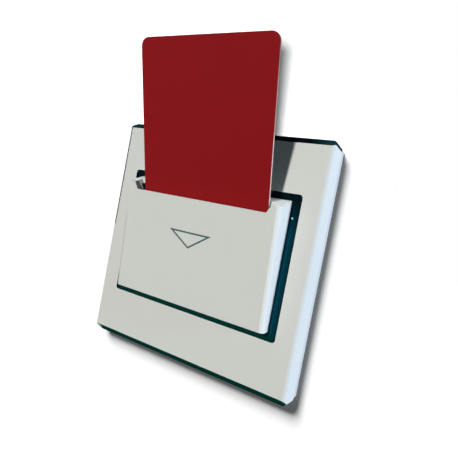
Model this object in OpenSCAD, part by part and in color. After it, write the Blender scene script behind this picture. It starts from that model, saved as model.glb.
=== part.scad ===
// Hotel key card switch for a wall box.
// Millimetres, +Z up, front towards -Y. The origin is the centre of the plate on the wall plane.

/* [Front frame] */
// Width and height of the flat front face
face_w = 88; // [84:0.5:100]
// How far the bevel flares out on each side
bevel_run = 2.4; // [1:0.1:3]
// Depth of the bevel behind the front face
bevel_depth = 2.9; // [2:0.1:3.6]
// Depth of the straight rim behind the bevel
rim_depth = 4.1; // [3.4:0.1:6]
// How far the rim is set back under the bevel
rim_inset = 0.3; // [0:0.1:1]
// Thickness of the rim
rim_wall = 2; // [1.6:0.1:2.4]
// Thickness of the front face
face_t = 1.7; // [1.2:0.1:2]
// Length of the cut across the bevel's corners, along each side
corner_cut = 3; // [1:0.1:4]
// Width of the posts that centre the frame on the yoke
post_w = 6; // [4:0.5:8]
// Radius of the window's corners
window_r = 1; // [0.6:0.1:2]
// Thickness of the ledge that the bezel clamps
ledge_t = 1.2; // [0.8:0.1:1.6]
// Width of that ledge
ledge_w = 1; // [0.8:0.1:1.4]
// Number of stiffening ribs on each side of the frame
rib_count = 5; // [2:1:9]
// Thickness of those ribs
rib_t = 1; // [0.6:0.1:1.6]

/* [Inner bezel] */
// Gap between the bezel and the window
bezel_gap = 0.35; // [0.2:0.05:0.6]
// Depth of the bezel's face below the front face
bezel_drop = 0.6; // [0.3:0.1:0.9]
// Thickness of the bezel's skirt
skirt_t = 1.8; // [1.6:0.1:2]
// Radius of the bezel's screw bosses
boss_r = 3; // [2.6:0.1:3.4]
// Gap between the screw bosses and the skirt
boss_gap = 1.3; // [0.5:0.1:2]
// Width of the dark border beside the pocket
border_side = 3.3; // [2.6:0.05:4]
// Width of the dark border above the pocket
border_top = 3.35; // [2.6:0.05:4]
// Width of the dark border below the pocket
border_low = 2.95; // [2.6:0.05:4]
// Radius of the indicator lamp
led_r = 0.5; // [0.4:0.05:0.6]
// Height of the indicator lamp above the centre
led_z = 17.7; // [10:0.1:19]
// How far the lamp stands out of the bezel
led_proud = 0.1; // [0:0.05:0.3]

/* [Card pocket] */
// Distance from the card's channel to the outside of the pocket
pocket_cheek = 5.51; // [5:0.01:6]
// Height of the pocket's top edge at its back
pocket_top = 23; // [22:0.1:23.4]
// Depth of the pocket's lower edge below the centre
pocket_low = 23; // [21:0.1:23.4]
// How far the pocket stands out of the front face at the top
stand_top = 8.4; // [8:0.1:12]
// How far the pocket stands out of the front face at the bottom
stand_low = 4.3; // [3:0.1:6]
// Angle at which the pocket's top falls towards the front
top_slope = 14; // [8:0.5:18]
// How much narrower the pocket is at its front, each side
side_draft = 0.9; // [0.3:0.1:1.6]
// Radius of the pocket's upright front edges
pocket_edge_r = 2.4; // [1.8:0.1:4]
// Wall of the pocket
pocket_wall = 1.5; // [1:0.1:1.8]
// Depth of the front lip below the pocket's top
lip_drop = 5.1; // [4:0.1:6]
// Width of the pocket's shoulders beside the lip
lip_side = 5.5; // [4.6:0.1:8]
// How far the lip's sloped ends run out
lip_slope = 1.5; // [0.2:0.1:2]
// Width of the tabs that fix the pocket to the bezel
tab_w = 3.6; // [2:0.2:3.6]
// How far those tabs reach past the bezel's plate
tab_catch = 0.4; // [0.2:0.1:0.8]

/* [Key card] */
// Width of the card
card_w = 53.98; // [50:0.02:56]
// Length of the card
card_l = 85.6; // [80:0.1:90]
// Thickness of the card
card_t = 0.76; // [0.5:0.02:0.9]
// Radius of the card's corners
card_r = 3.18; // [2:0.02:5]
// Lean of the card towards the room
card_tilt = 18.3; // [14:0.1:20]
// Depth of the card below the lip when it is in
card_in = 28.1; // [26:0.1:31]
// Distance from the pocket's face to the card at the lip
card_setback = 3.1; // [2.8:0.1:4]
// Total play of the card across its channel
card_play = 2; // [1.8:0.1:3]
// How far the card lies to the right of the middle
card_shift = 0.85; // [0:0.05:0.85]
// Gap before and behind the card in the slot
slot_gap = 0.6; // [0.3:0.05:0.8]

/* [Card guide] */
// Wall of the guide
guide_wall = 1.2; // [0.8:0.1:1.4]
// Gap between the card and the guide
guide_gap = 0.3; // [0.2:0.05:0.5]
// Gap between the card's lower edge and its stop
stop_gap = 0.3; // [0.2:0.05:0.6]
// Half width of the opening for the lever
lever_gate = 6; // [5:0.2:8]

/* [Mounting yoke] */
// Width and height of the yoke
yoke_w = 71; // [68:0.5:72]
// Thickness of the yoke
yoke_t = 1.2; // [0.8:0.1:1.6]
// Distance between the two box fixing slots
fixing_pitch = 60; // [58:0.5:61]
// Width of a fixing slot
fixing_slot_w = 4.2; // [3.4:0.1:5]
// Length of a fixing slot from end to end
fixing_slot_l = 8; // [6:0.5:9]
// Radius of the yoke's corners
yoke_corner_r = 4; // [1:0.5:8]

/* [Housing] */
// Width of the housing
housing_w = 44; // [43:0.5:48]
// Height of the housing
housing_h = 40; // [40:0.5:46]
// Depth of the housing behind the wall plane
housing_d = 25.6; // [25.6:0.2:32]
// Wall of the housing
housing_wall = 1.6; // [1.2:0.1:2]
// Radius of the housing's upright corners
housing_r = 3; // [2:0.5:4]
// Distance of the housing's screws from the centre, across
housing_screw_x = 16; // [15:0.2:17]
// Distance of the housing's screws from the centre, up and down
housing_screw_z = 15; // [14.6:0.1:15.2]
// Width of the rear cover's hooks
hook_w = 5; // [3:0.5:8]
// Depth of the hooks' catch
hook_catch = 2; // [1.2:0.1:2.4]
// Distance from the rear cover to the middle of the catch
hook_back = 3; // [2.4:0.1:3.2]
// Radius of the posts for the housing's screws
post_r = 2.6; // [2.2:0.1:3]
// Length of the housing's screws inside their posts
grip = 7; // [5:0.5:10]
// Distance between the rear cover's cooling slots
cool_pitch = 4; // [3:0.5:5]
// Width of a cooling slot
cool_w = 1.4; // [1:0.1:2]
// Height of a cooling slot
cool_h = 9; // [6:0.5:10]
// Gap around loose fitted pieces
fit_gap = 0.15; // [0.05:0.05:0.25]

/* [Lever and switch] */
// Gap between the lever's hub and the board
lever_room = 1.7; // [1.2:0.1:3]
// Height of the lever's pin
pin_z = -9.5; // [-10:0.1:-9]
// Radius of the lever's pin
pin_r = 1; // [0.8:0.1:1.3]
// Running clearance of the lever on its pin
pin_gap = 0.05; // [0.02:0.01:0.1]
// Radius of the lever's hub
hub_r = 2.3; // [2:0.1:2.6]
// Width of the lever's arm
arm_w = 8; // [6:0.2:9]
// Thickness of the lever's arm
arm_t = 2.4; // [1.8:0.1:2.8]
// Swing of the lever when the card is out
lever_swing = 12; // [8:0.5:12]
// Width of the lever's hub
hub_w = 4.6; // [4:0.1:5]
// Length of the microswitch
switch_l = 12.8; // [12:0.1:14]
// Thickness of the microswitch
switch_t = 5.8; // [5:0.1:6]
// Radius of the microswitch's plunger
plunger_r = 1; // [0.8:0.1:1.2]
// Travel of the plunger
plunger_travel = 1.2; // [0.6:0.1:1.2]
// Length of the pressed plunger inside its case
plunger_in = 3; // [2:0.1:4]
// Height of the pressed plunger above its case
plunger_rest = 0.5; // [0.3:0.1:0.6]
// Distance between the microswitch's two pegs
peg_pitch = 6.5; // [6:0.1:7]
// Radius of those pegs
peg_r = 0.95; // [0.8:0.05:1]
// Wire radius of the lever's spring
wire_r = 0.22; // [0.16:0.02:0.24]
// Turns of the lever's spring
spring_turns = 3; // [2:1:3]
// Gap between the spring's leg and the plunger
leg_gap = 2.6; // [2:0.1:4]
// Gap between the microswitch and the housing's front
switch_room = 0.7; // [0.4:0.1:1.2]
// Length of the microswitch's contact tabs
tab_l = 2.6; // [2:0.1:3]

/* [Electronics] */
// Room behind the board for its joints
board_room = 4.4; // [3.8:0.1:6]
// Thickness of the board
board_t = 1.6; // [1:0.1:1.6]
// Pitch of the terminals
terminal_pitch = 5.4; // [5:0.1:6]
// Number of terminals
terminal_count = 4; // [2:1:4]
// Depth of the terminal block
terminal_d = 8; // [7.4:0.1:9]
// Height of the terminal block
terminal_h = 10.4; // [9.6:0.1:11]
// Depth of a terminal's screw well
well_d = 1.6; // [1.2:0.1:2]
// Thickness of the block below the terminal clamps
clamp_floor = 1.6; // [1.2:0.1:2]
// Depth of a terminal clamp
clamp_d = 4.4; // [4:0.1:5]
// Height of a terminal clamp
clamp_h = 4.6; // [4:0.1:5]
// Radius of a wire entry
wire_entry_r = 1.5; // [1:0.1:1.6]
// Width of the relay
relay_w = 19; // [15:0.5:19]
// Height of the relay
relay_h = 15.2; // [12:0.1:15.4]
// Gap between the relay and the housing's front
relay_room = 1; // [0.4:0.1:4]
// Width of the film capacitor
film_w = 12; // [10:0.5:13]
// Depth of the film capacitor
film_d = 9; // [6:0.5:12]
// Height of the film capacitor
film_h = 5; // [3:0.2:6]
// Radius of the electrolytic capacitor
can_r = 3.2; // [2.5:0.1:3.4]
// Length of the electrolytic capacitor
can_h = 11; // [7:0.5:14]
// Distance of the crimp from the capacitor's foot
crimp_at = 1.7; // [1.2:0.1:2.5]
// Radius of the varistor
disc_r = 3.5; // [2.5:0.1:4]
// Thickness of the varistor
disc_t = 3; // [2:0.1:4]
// Gap between neighbours on the board
part_gap = 0.6; // [0.3:0.1:1]

/* [Hidden] */
$fn = 64;
eps = 0.01;

// Planes and outlines of the front, from the wall outwards
frame_w = face_w + 2 * bevel_run;
rim_w = frame_w - 2 * rim_inset;
channel_w = card_w + card_play;
pocket_w = channel_w + 2 * pocket_cheek;
window_w = pocket_w + 2 * border_side;
window_h = pocket_top + pocket_low + border_top + border_low;
window_lift = (pocket_top + border_top - pocket_low - border_low) / 2;
face_y = -(bevel_depth + rim_depth);
bezel_y = face_y + bezel_drop;
yoke_y = -yoke_t;
ledge_y = face_y + face_t;
bezel_w = window_w - 2 * bezel_gap;
bezel_h = window_h - 2 * bezel_gap;
skirt_w = window_w - 2 * ledge_w - 2 * bezel_gap;
skirt_h = window_h - 2 * ledge_w - 2 * bezel_gap;
bezel_screw_x = skirt_w / 2 - skirt_t - boss_r - boss_gap;
bezel_screw_z = skirt_h / 2 - skirt_t - boss_r - boss_gap;

// Slope of the pocket's front wall
front_rise = pocket_top + pocket_low - (stand_top + bezel_drop) * tan(top_slope);
front_lean = atan((stand_top - stand_low) / front_rise);
front_low_y = face_y - stand_low;
draft_angle = atan(side_draft / (stand_top + bezel_drop));
lip_z = pocket_top - lip_drop;
lip_half = pocket_w / 2 - lip_side;

// Card frame: the middle of the card's lower edge, local Z along the card
lip_card_y = front_low_y - (lip_z + pocket_low) * tan(front_lean) + card_setback;
card_y = lip_card_y + card_in * sin(card_tilt);
card_z = lip_z - card_in * cos(card_tilt);
slot_t = card_t + 2 * slot_gap;
guide_front = card_t / 2 + guide_gap;
guide_back = guide_front + guide_wall;
guide_top = card_in - guide_wall;
rail_w = guide_wall;
stop_low = -stop_gap - guide_wall;

// Bezel opening around the guide
gate_half = channel_w / 2 + 2 * rail_w + bezel_gap;
gate_high = card_z + guide_back * sin(card_tilt) + bezel_gap
    + cos(card_tilt) * (card_y + guide_back * cos(card_tilt) - bezel_y) / sin(card_tilt);
gate_low = card_z + stop_low - bezel_gap - guide_wall;

// Inside of the housing
inner_w = housing_w - 2 * housing_wall;
inner_h = housing_h - 2 * housing_wall;
floor_z = -inner_h / 2;
cover_t = housing_wall;
cover_y = housing_d - cover_t;
board_back = cover_y - board_room;
board_y = board_back - board_t;

// Lever: nose just under the card, plunger below the arm
pin_y = board_y - hub_r - lever_room;
nose_r = arm_t / 2;
nose_y = card_y;
nose_z = card_z - card_t / 2 * sin(card_tilt) - stop_gap - nose_r;
arm_l = norm([pin_y - nose_y, pin_z - nose_z]);
arm_angle = atan2(pin_z - nose_z, pin_y - nose_y);
switch_y = housing_wall + switch_room + switch_t / 2;
spring_leg = pin_y - switch_y - plunger_r - leg_gap;
plunger_gap = 0.2;
cheek_gap = 0.3;
arm_under_z = pin_z - (pin_y - switch_y) * tan(arm_angle) - arm_t / 2 / cos(arm_angle);
plunger_top = arm_under_z - plunger_gap;
switch_top = plunger_top - plunger_rest;
switch_h = switch_top - floor_z;
cheek_x = arm_w / 2 + cheek_gap;
cheek_t = 1.6;

// Screws: radius of shank, head and head height
screw_r = 1.2;
head_r = 2.3;
head_h = 1.3;
screw_slot = 0.6;
well_r = 1.8;
screw_gap = 0.05;

// Terminals
block_w = terminal_pitch * terminal_count + 0.8;
block_back = board_back + terminal_d;
block_low = -housing_h / 2;
block_top = block_low + terminal_h;
clamp_w = terminal_pitch - clamp_floor;
clamp_mid_y = board_back + clamp_d * 3 / 4;
clamp_mid_z = block_low + clamp_floor + clamp_h / 2;

// Places on the board, between the posts
relay_x = -housing_screw_x + post_r + part_gap;
relay_d = board_y - housing_wall - relay_room;
relay_low = inner_h / 2 - relay_h - part_gap;
side_x = inner_w / 2 - part_gap;
film_low = relay_low - part_gap - film_h;

// Extrude a front view outline, X and Z, from depth y0 to depth y1.
module slab(y0, y1) {
    translate([0, y1, 0])
        rotate([90, 0, 0])
            linear_extrude(y1 - y0)
                children();
}

// Extrude a side view outline, Y and Z, over a width centred on the middle.
module across(w) {
    translate([-w / 2, 0, 0])
        rotate([90, 0, 90])
            linear_extrude(w)
                children();
}

// Rectangle with round corners, centred.
module rounded(w, h, r) {
    square([w - 2 * r, h], center = true);
    square([w, h - 2 * r], center = true);
    for (sx = [-1, 1], sz = [-1, 1])
        translate([sx * (w / 2 - r), sz * (h / 2 - r)])
            circle(r);
}

// Slot outline along X, end to end length l and width w.
module slot_outline(l, w) {
    square([l - w, w], center = true);
    for (s = [-1, 1])
        translate([s * (l - w) / 2, 0])
            circle(w / 2);
}

// Round rod along Y from y0 to y1.
module rod(r, y0, y1) {
    translate([0, y0, 0])
        rotate([-90, 0, 0])
            cylinder(r = r, h = y1 - y0);
}

// Copies at four corners.
module four(x, z) {
    for (sx = [-1, 1], sz = [-1, 1])
        translate([sx * x, 0, sz * z])
            children();
}

// Frame of the card: origin at the middle of the lower edge, Z along the card.
module at_card() {
    translate([0, card_y, card_z])
        rotate([card_tilt, 0, 0])
            children();
}

// Screw with a cheese head on its front, head seat at y = 0, shank towards +Y.
module screw(length) {
    rod(screw_r, -eps, length);
    difference() {
        rod(head_r, -head_h, 0);
        translate([-head_r, -head_h - eps, -screw_slot / 2])
            cube([2 * head_r, head_h / 2 + eps, screw_slot]);
    }
}

// Square with its corners cut off.
module cut_square(w, cut) {
    h = w / 2;
    polygon([[h, cut - h], [h, h - cut], [h - cut, h], [cut - h, h],
             [-h, h - cut], [-h, cut - h], [cut - h, -h], [h - cut, -h]]);
}

// Bevelled block of the frame: flared planes with cut corners, over a straight rim.
module frame_block() {
    flare = face_w / 2 + bevel_run / bevel_depth * (bevel_depth + rim_depth);
    bevel_view = [[face_y, -face_w / 2], [face_y, face_w / 2], [0, flare], [0, -flare]];
    intersection() {
        slab(face_y - eps, -rim_depth)
            cut_square(frame_w, corner_cut);
        across(2 * frame_w)
            polygon(bevel_view);
        rotate([0, 90, 0])
            across(2 * frame_w)
                polygon(bevel_view);
    }
    slab(-rim_depth - eps, 0)
        cut_square(rim_w, corner_cut);
}

// Front frame: hollow bevelled plate with a clamping ledge round its window.
module front_frame() {
    cavity = rim_w - 2 * rim_wall;
    ledge_back = ledge_y + ledge_t;
    rib_l = rim_w / 2 - window_w / 2 - rim_wall;
    rib_step = frame_w / (rib_count + 1);
    color("gainsboro")
    difference() {
        union() {
            difference() {
                frame_block();
                slab(face_y + face_t, 1)
                    cut_square(cavity, corner_cut);
            }
            // Ledge round the window
            translate([0, 0, window_lift])
                slab(face_y + face_t - 0.4, ledge_back)
                    rounded(window_w + 2 * ledge_w, window_h + 2 * ledge_w, window_r + ledge_w);
            // Stiffening ribs from the ledge to the rim
            for (side = [-1, 1], i = [1 : rib_count])
                translate([side * (window_w + rib_l) / 2, 0, i * rib_step - frame_w / 2])
                    slab(face_y + face_t - 0.4, ledge_back)
                        square([rib_l + rim_wall, rib_t], center = true);
            // Posts that centre the frame on the yoke
            four(yoke_w / 4, yoke_w / 2 + fit_gap + rib_t / 2)
                slab(face_y + face_t - 0.4, -yoke_t / 2)
                    square([post_w, rib_t], center = true);
        }
        translate([0, 0, window_lift]) {
            slab(face_y - 1, ledge_y)
                rounded(window_w, window_h, window_r);
            slab(face_y, 0)
                rounded(window_w - 2 * ledge_w, window_h - 2 * ledge_w, window_r);
        }
    }
}

// Inner bezel: recessed plate that clamps the frame and carries guide and pocket.
module inner_bezel() {
    color("darkslategray")
    difference() {
        translate([0, 0, window_lift]) {
            slab(bezel_y, ledge_y)
                rounded(bezel_w, bezel_h, window_r);
            difference() {
                slab(ledge_y - eps, yoke_y)
                    rounded(skirt_w, skirt_h, window_r);
                slab(ledge_y - 2 * eps, 1)
                    rounded(skirt_w - 2 * skirt_t, skirt_h - 2 * skirt_t, window_r);
            }
            translate([0, 0, -window_lift])
                four(bezel_screw_x, bezel_screw_z)
                    rod(boss_r, ledge_y - eps, yoke_y);
        }
        // Opening for the card guide
        translate([0, 0, (gate_low + gate_high) / 2])
            slab(bezel_y - 1, 1)
                square([2 * gate_half, gate_high - gate_low], center = true);
        // Screws sunk flush with the face
        four(bezel_screw_x, bezel_screw_z) {
            rod(screw_r + fit_gap, bezel_y - 1, 1);
            rod(head_r + fit_gap, bezel_y - 1, bezel_y + head_h);
        }
        pocket_tabs(fit_gap);
        led_place(fit_gap);
    }
}

// Tabs that fix the pocket to the bezel, grown by a clearance for their slots.
module pocket_tabs(grow) {
    tab_t = 1.1;
    tab_x = pocket_w / 2 - pocket_wall / 2 - fit_gap;
    for (sx = [-1, 1], z = [gate_low - bezel_gap - tab_w / 2, gate_high + tab_w])
        translate([sx * tab_x, 0, z])
            slab(bezel_y - pocket_wall, ledge_y + tab_catch + grow)
                square([tab_t + 2 * grow, tab_w + 2 * grow], center = true);
}

// Plan outline of the pocket, X across and Y back, inset by a wall.
module pocket_plan(inset, depth) {
    front_half = pocket_w / 2 - side_draft - inset;
    r = pocket_edge_r - inset * 0.7;
    centre_x = front_half - r * (1 - sin(draft_angle)) / cos(draft_angle);
    side_x = centre_x + r * cos(draft_angle);
    side_y = inset + r - r * sin(draft_angle);
    back_half = side_x + (depth - side_y) * tan(draft_angle);
    polygon([[-centre_x, inset], [centre_x, inset], [side_x, side_y], [back_half, depth],
             [-back_half, depth], [-side_x, side_y]]);
    for (s = [-1, 1])
        translate([s * centre_x, inset + r])
            circle(r);
}

// Solid of the pocket between its top and lower planes, inset by a wall.
module pocket_block(inset, back_y) {
    reach = 2 * stand_top;
    height = pocket_top + pocket_low;
    front_y = bezel_y - reach;
    side_view = [[back_y, inset - pocket_low],
                 [front_y, inset - pocket_low],
                 [front_y, pocket_top - inset / cos(top_slope) - reach * tan(top_slope)],
                 [back_y, pocket_top - inset / cos(top_slope) + (back_y - bezel_y) * tan(top_slope)]];
    intersection() {
        across(2 * pocket_w)
            polygon(side_view);
        translate([0, front_low_y, -pocket_low])
            rotate([front_lean, 0, 0])
                translate([0, 0, -height / 4])
                    linear_extrude(1.5 * height)
                        pocket_plan(inset, 2 * reach);
    }
}

// Pocket cover: drafted wedge shell with a card slot and a lowered front lip.
module pocket_cover() {
    lip_top = 12;
    lip_view = [[-lip_half, 0], [lip_half, 0],
                [lip_half + lip_slope * lip_top / 2.6, lip_top], [-lip_half - lip_slope * lip_top / 2.6, lip_top]];
    color("gainsboro") {
        difference() {
            pocket_block(0, bezel_y);
            pocket_block(pocket_wall, bezel_y + 1);
            // Slot for the card
            at_card()
                translate([-channel_w / 2, -slot_t / 2, card_in])
                    cube([channel_w, slot_t, card_in]);
            // Lowered lip with sloped ends, cut square to the leaning front
            translate([0, front_low_y, -pocket_low])
                rotate([front_lean, 0, 0])
                    translate([0, 0, (lip_z + pocket_low) / cos(front_lean)])
                        slab(-stand_low, card_setback)
                            polygon(lip_view);
        }
        pocket_tabs(0);
    }
}

// Card guide: tilted channel with a stop and two cheeks that seat on the bezel.
module card_guide() {
    rail_x = channel_w / 2;
    rail_front = card_t / 2 + guide_gap + 0.4;
    gate_rise = 8;
    seat_low = gate_high + bezel_gap;
    cheek_depth = guide_front + guide_wall / 2;
    cheek_at = function (s) [card_y + cheek_depth * cos(card_tilt) - s * sin(card_tilt),
                             card_z + cheek_depth * sin(card_tilt) + s * cos(card_tilt)];
    cheek_low = cheek_at((seat_low - card_z - cheek_depth * sin(card_tilt)) / cos(card_tilt));
    cheek_high = cheek_at(guide_top - guide_wall / 2);
    color("dimgray") {
        at_card()
            difference() {
                translate([-rail_x - rail_w, -rail_front, stop_low])
                    cube([2 * (rail_x + rail_w), rail_front + guide_back, guide_top - stop_low]);
                // Channel above the stop
                translate([-rail_x, -rail_front - 1, -stop_gap])
                    cube([2 * rail_x, rail_front + 1 + guide_front, 2 * card_in]);
                // Room for the yoke behind the stop
                translate([-rail_x - 2 * rail_w, guide_front - stop_gap, stop_low - 1])
                    cube([2 * (rail_x + 2 * rail_w), 2 * guide_back, guide_wall + 1 - stop_low]);
                // Gate for the lever
                translate([-lever_gate, -card_in, stop_low - 1])
                    cube([2 * lever_gate, 2 * card_in, gate_rise + 1 - stop_low]);
            }
        // Cheeks
        for (s = [-1, 1])
            translate([s * (rail_x + rail_w), 0, 0])
                across(2 * rail_w)
                    polygon([[bezel_y, seat_low], cheek_low, cheek_high, [bezel_y, cheek_high[1]]]);
    }
}

// Key card, resting on the lever's side of the channel.
module key_card() {
    color("firebrick")
    at_card()
        translate([card_shift, 0, card_l / 2])
            slab(-card_t / 2, card_t / 2)
                rounded(card_w, card_l, card_r);
}

// Place of the indicator lamp on the bezel's right border, grown by a clearance.
module led_place(grow) {
    led_x = (skirt_w - skirt_t) / 2;
    translate([led_x, 0, led_z])
        rod(led_r + grow, bezel_y - led_proud, yoke_y - fit_gap);
}

// Indicator lamp that shows where the slot is in the dark.
module indicator_led() {
    color("white")
        led_place(0);
}

// Mounting yoke: steel plate with the wall box fixings.
module mounting_yoke() {
    gate_w = 2 * lever_gate;
    color("silver")
    slab(yoke_y, 0)
        difference() {
            rounded(yoke_w, yoke_w, yoke_corner_r);
            // Wall box fixings
            for (s = [-1, 1])
                translate([s * fixing_pitch / 2, 0])
                    slot_outline(fixing_slot_l, fixing_slot_w);
            // Way for the lever
            translate([0, (lever_low() + lever_high()) / 2])
                square([gate_w, lever_high() - lever_low()], center = true);
            for (sx = [-1, 1], sz = [-1, 1]) {
                translate([sx * bezel_screw_x, sz * bezel_screw_z])
                    circle(screw_r + screw_gap);
                translate([sx * housing_screw_x, sz * housing_screw_z])
                    circle(screw_r + fit_gap);
            }
        }
}

// Lowest and highest reach of the lever where it passes the yoke.
function lever_low() = min(nose_z, pin_z) - arm_t;
function lever_high() = nose_z + nose_r + (pin_y - nose_y) * sin(lever_swing) + 1;

// Screws that clamp the bezel to the yoke.
module bezel_screws() {
    color("lightgray")
    four(bezel_screw_x, bezel_screw_z)
        translate([0, bezel_y + head_h, 0])
            screw(-bezel_y - head_h);
}

// Screws from the yoke into the housing.
module housing_screws() {
    color("lightgray")
    four(housing_screw_x, housing_screw_z)
        translate([0, yoke_y, 0])
            screw(yoke_t + grip);
}

// Housing: box behind the yoke with posts, cheeks for the lever and pegs for the switch.
module housing() {
    color("ghostwhite")
    difference() {
        union() {
            difference() {
                slab(0, housing_d)
                    rounded(housing_w, housing_h, housing_r);
                slab(housing_wall, housing_d + 1)
                    rounded(inner_w, inner_h, housing_r - housing_wall);
            }
            // Posts for the yoke's screws, which also carry the board
            four(housing_screw_x, housing_screw_z)
                rod(post_r, housing_wall - eps, board_y);
            // Cheeks for the lever's pin
            for (s = [-1, 1])
                translate([s * (cheek_x + cheek_t / 2), pin_y, (floor_z + pin_z) / 2 - eps])
                    cube([cheek_t, 2 * hub_r + 1, pin_z - floor_z + 2 * eps], center = true);
            for (s = [-1, 1])
                translate([s * (cheek_x + cheek_t / 2), pin_y, pin_z])
                    rotate([0, 90, 0])
                        cylinder(r = hub_r + 0.5, h = cheek_t, center = true);
            // Pegs for the microswitch
            for (s = [-1, 1])
                translate([s * peg_pitch / 2, 0, floor_z + switch_h * 0.3])
                    rod(peg_r, housing_wall - eps, switch_y + switch_t / 2);
        }
        // Screw holes
        four(housing_screw_x, housing_screw_z)
            rod(screw_r + screw_gap, -1, grip + 1);
        // Bore for the lever's pin
        translate([0, pin_y, pin_z])
            rotate([0, 90, 0])
                cylinder(r = pin_r + pin_gap / 2, h = 2 * (cheek_x + cheek_t) + 1, center = true);
        // Way for the lever
        translate([0, 0, (lever_low() + lever_high()) / 2])
            slab(-1, housing_wall + eps)
                square([2 * lever_gate, lever_high() - lever_low()], center = true);
        // Way for the terminal block
        translate([0, (board_back + housing_d + 1) / 2, -housing_h / 2])
            cube([block_w + 2 * fit_gap, housing_d + 1 - board_back, 3 * housing_wall], center = true);
        // Snap windows for the rear cover
        for (sx = [-1, 1])
            translate([sx * housing_w / 2, cover_y - hook_back, 0])
                for (sz = [-1, 1])
                    translate([0, 0, sz * inner_h / 4])
                        cube([4 * housing_wall, hook_catch + 2 * fit_gap, hook_w + 2 * fit_gap], center = true);
    }
}

// Rear cover: plate with a lip, snap hooks and a cut-out for the terminals.
module rear_cover() {
    hook_t = 1;
    hook_x = inner_w / 2 - fit_gap - hook_t / 2;
    hook_len = cover_y - board_back - fit_gap;
    color("ghostwhite")
    difference() {
        union() {
            slab(cover_y, housing_d)
                rounded(inner_w - 2 * fit_gap, inner_h - 2 * fit_gap, housing_r - housing_wall);
            for (sx = [-1, 1], sz = [-1, 1])
                translate([sx * hook_x, cover_y - hook_len / 2 + eps, sz * inner_h / 4]) {
                    cube([hook_t, hook_len, hook_w], center = true);
                    translate([sx * hook_t / 2, hook_len / 2 - hook_back, 0])
                        cube([1.4, hook_catch, hook_w], center = true);
                }
            // Pillars that hold the board down
            four(housing_screw_x, housing_screw_z)
                rod(1.6, board_back, cover_y + eps);
        }
        translate([0, cover_y, block_low])
            cube([block_w + 2 * fit_gap, 4 * cover_t, 2 * (terminal_h + fit_gap)], center = true);
        // Cooling slots
        for (i = [-2 : 2])
            translate([i * cool_pitch, 0, inner_h / 4])
                slab(cover_y - 1, housing_d + 1)
                    square([cool_w, cool_h], center = true);
    }
}

// Lever: nose under the card, flat arm and hub, cut back on one side for the spring.
module lever() {
    spring_room = hub_r + 1.2;
    color("orange")
    translate([0, pin_y, pin_z])
        rotate([arm_angle, 0, 0])
            difference() {
                across(arm_w) {
                    translate([-arm_l, -arm_t / 2])
                        square([arm_l, arm_t]);
                    translate([-arm_l, 0])
                        circle(nose_r);
                    circle(hub_r);
                }
                translate([hub_w - arm_w / 2, -spring_room, -spring_room])
                    cube([arm_w, 2 * spring_room, 2 * spring_room]);
                rotate([0, 90, 0])
                    cylinder(r = pin_r + pin_gap, h = 2 * arm_w, center = true);
            }
}

// Hinge pin of the lever.
module lever_pin() {
    color("silver")
    translate([0, pin_y, pin_z])
        rotate([0, 90, 0])
            cylinder(r = pin_r, h = 2 * (cheek_x + cheek_t), center = true);
}

// Round tube swept along points that never run along X.
module wire(points, r) {
    sides = 6;
    n = len(points);
    tangent = function (i) let (d = points[min(i + 1, n - 1)] - points[max(i - 1, 0)]) d / norm(d);
    rings = [for (i = [0 : n - 1])
        let (t = tangent(i), u = cross(t, [1, 0, 0]), a = u / norm(u), b = cross(t, a))
        for (k = [0 : sides - 1])
            points[i] + r * (cos(360 * k / sides) * a + sin(360 * k / sides) * b)];
    caps = [[for (k = [sides - 1 : -1 : 0]) k], [for (k = [0 : sides - 1]) (n - 1) * sides + k]];
    walls = [for (i = [0 : n - 2], k = [0 : sides - 1], half = [0, 1])
        let (p = i * sides + k, q = i * sides + (k + 1) % sides)
        half == 0 ? [p, q, q + sides] : [p, q + sides, p + sides]];
    polyhedron(points = rings, faces = concat(caps, walls));
}

// Torsion spring round the pin: one leg under the arm, one down to the floor.
module lever_spring() {
    coil_r = pin_r + 0.25 + wire_r;
    pitch = 2 * wire_r + 0.42;
    steps = 12;
    start_x = hub_w - arm_w / 2 + 0.3 + wire_r;
    under = arm_t / 2 + 0.3 + wire_r;
    coil = [for (i = [0 : steps * spring_turns + steps / 4])
        let (a = 270 - 360 * i / steps)
        [start_x + pitch * i / steps, pin_y + coil_r * cos(a), pin_z + coil_r * sin(a)]];
    last = coil[len(coil) - 1];
    path = concat([[start_x, pin_y - spring_leg, pin_z - under - spring_leg * tan(arm_angle)]], coil,
                  [[last[0], last[1], floor_z + wire_r + 0.1]]);
    color("darkgray")
        wire(path, wire_r);
}

// Case of the microswitch, on two pegs of the housing.
module microswitch_case() {
    color("black")
    difference() {
        translate([0, switch_y, floor_z + switch_h / 2])
            cube([switch_l, switch_t, switch_h], center = true);
        translate([0, switch_y, switch_top - plunger_in - plunger_travel])
            cylinder(r = plunger_r + pin_gap, h = switch_h);
        for (s = [-1, 1])
            translate([s * peg_pitch / 2, 0, floor_z + switch_h * 0.3])
                rod(peg_r + fit_gap / 2, 0, switch_y + switch_t);
    }
}

// Plunger of the microswitch, pressed while the card is in.
module microswitch_plunger() {
    color("orangered")
    translate([0, switch_y, switch_top - plunger_in])
        cylinder(r = plunger_r, h = plunger_in + plunger_rest);
}

// Contact tabs at the back of the microswitch.
module microswitch_tabs() {
    tab = [1.2, tab_l, 0.5];
    tab_pitch = cheek_x - tab[0];
    color("goldenrod")
    for (i = [-1 : 1])
        translate([i * tab_pitch, switch_y + switch_t / 2 + tab[1] / 2, floor_z + 1])
            cube(tab, center = true);
}

// Board of the delay timer, held between posts and rear cover.
module circuit_board() {
    color("darkgreen")
    slab(board_y, board_back)
        rounded(inner_w - 2 * fit_gap - 0.6, inner_h - 2 * fit_gap - 0.6, housing_r - housing_wall);
}

// Relay that switches the room's circuit.
module relay() {
    color("royalblue")
    translate([relay_x, board_y - relay_d, relay_low])
        cube([relay_w, relay_d, relay_h]);
}

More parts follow.
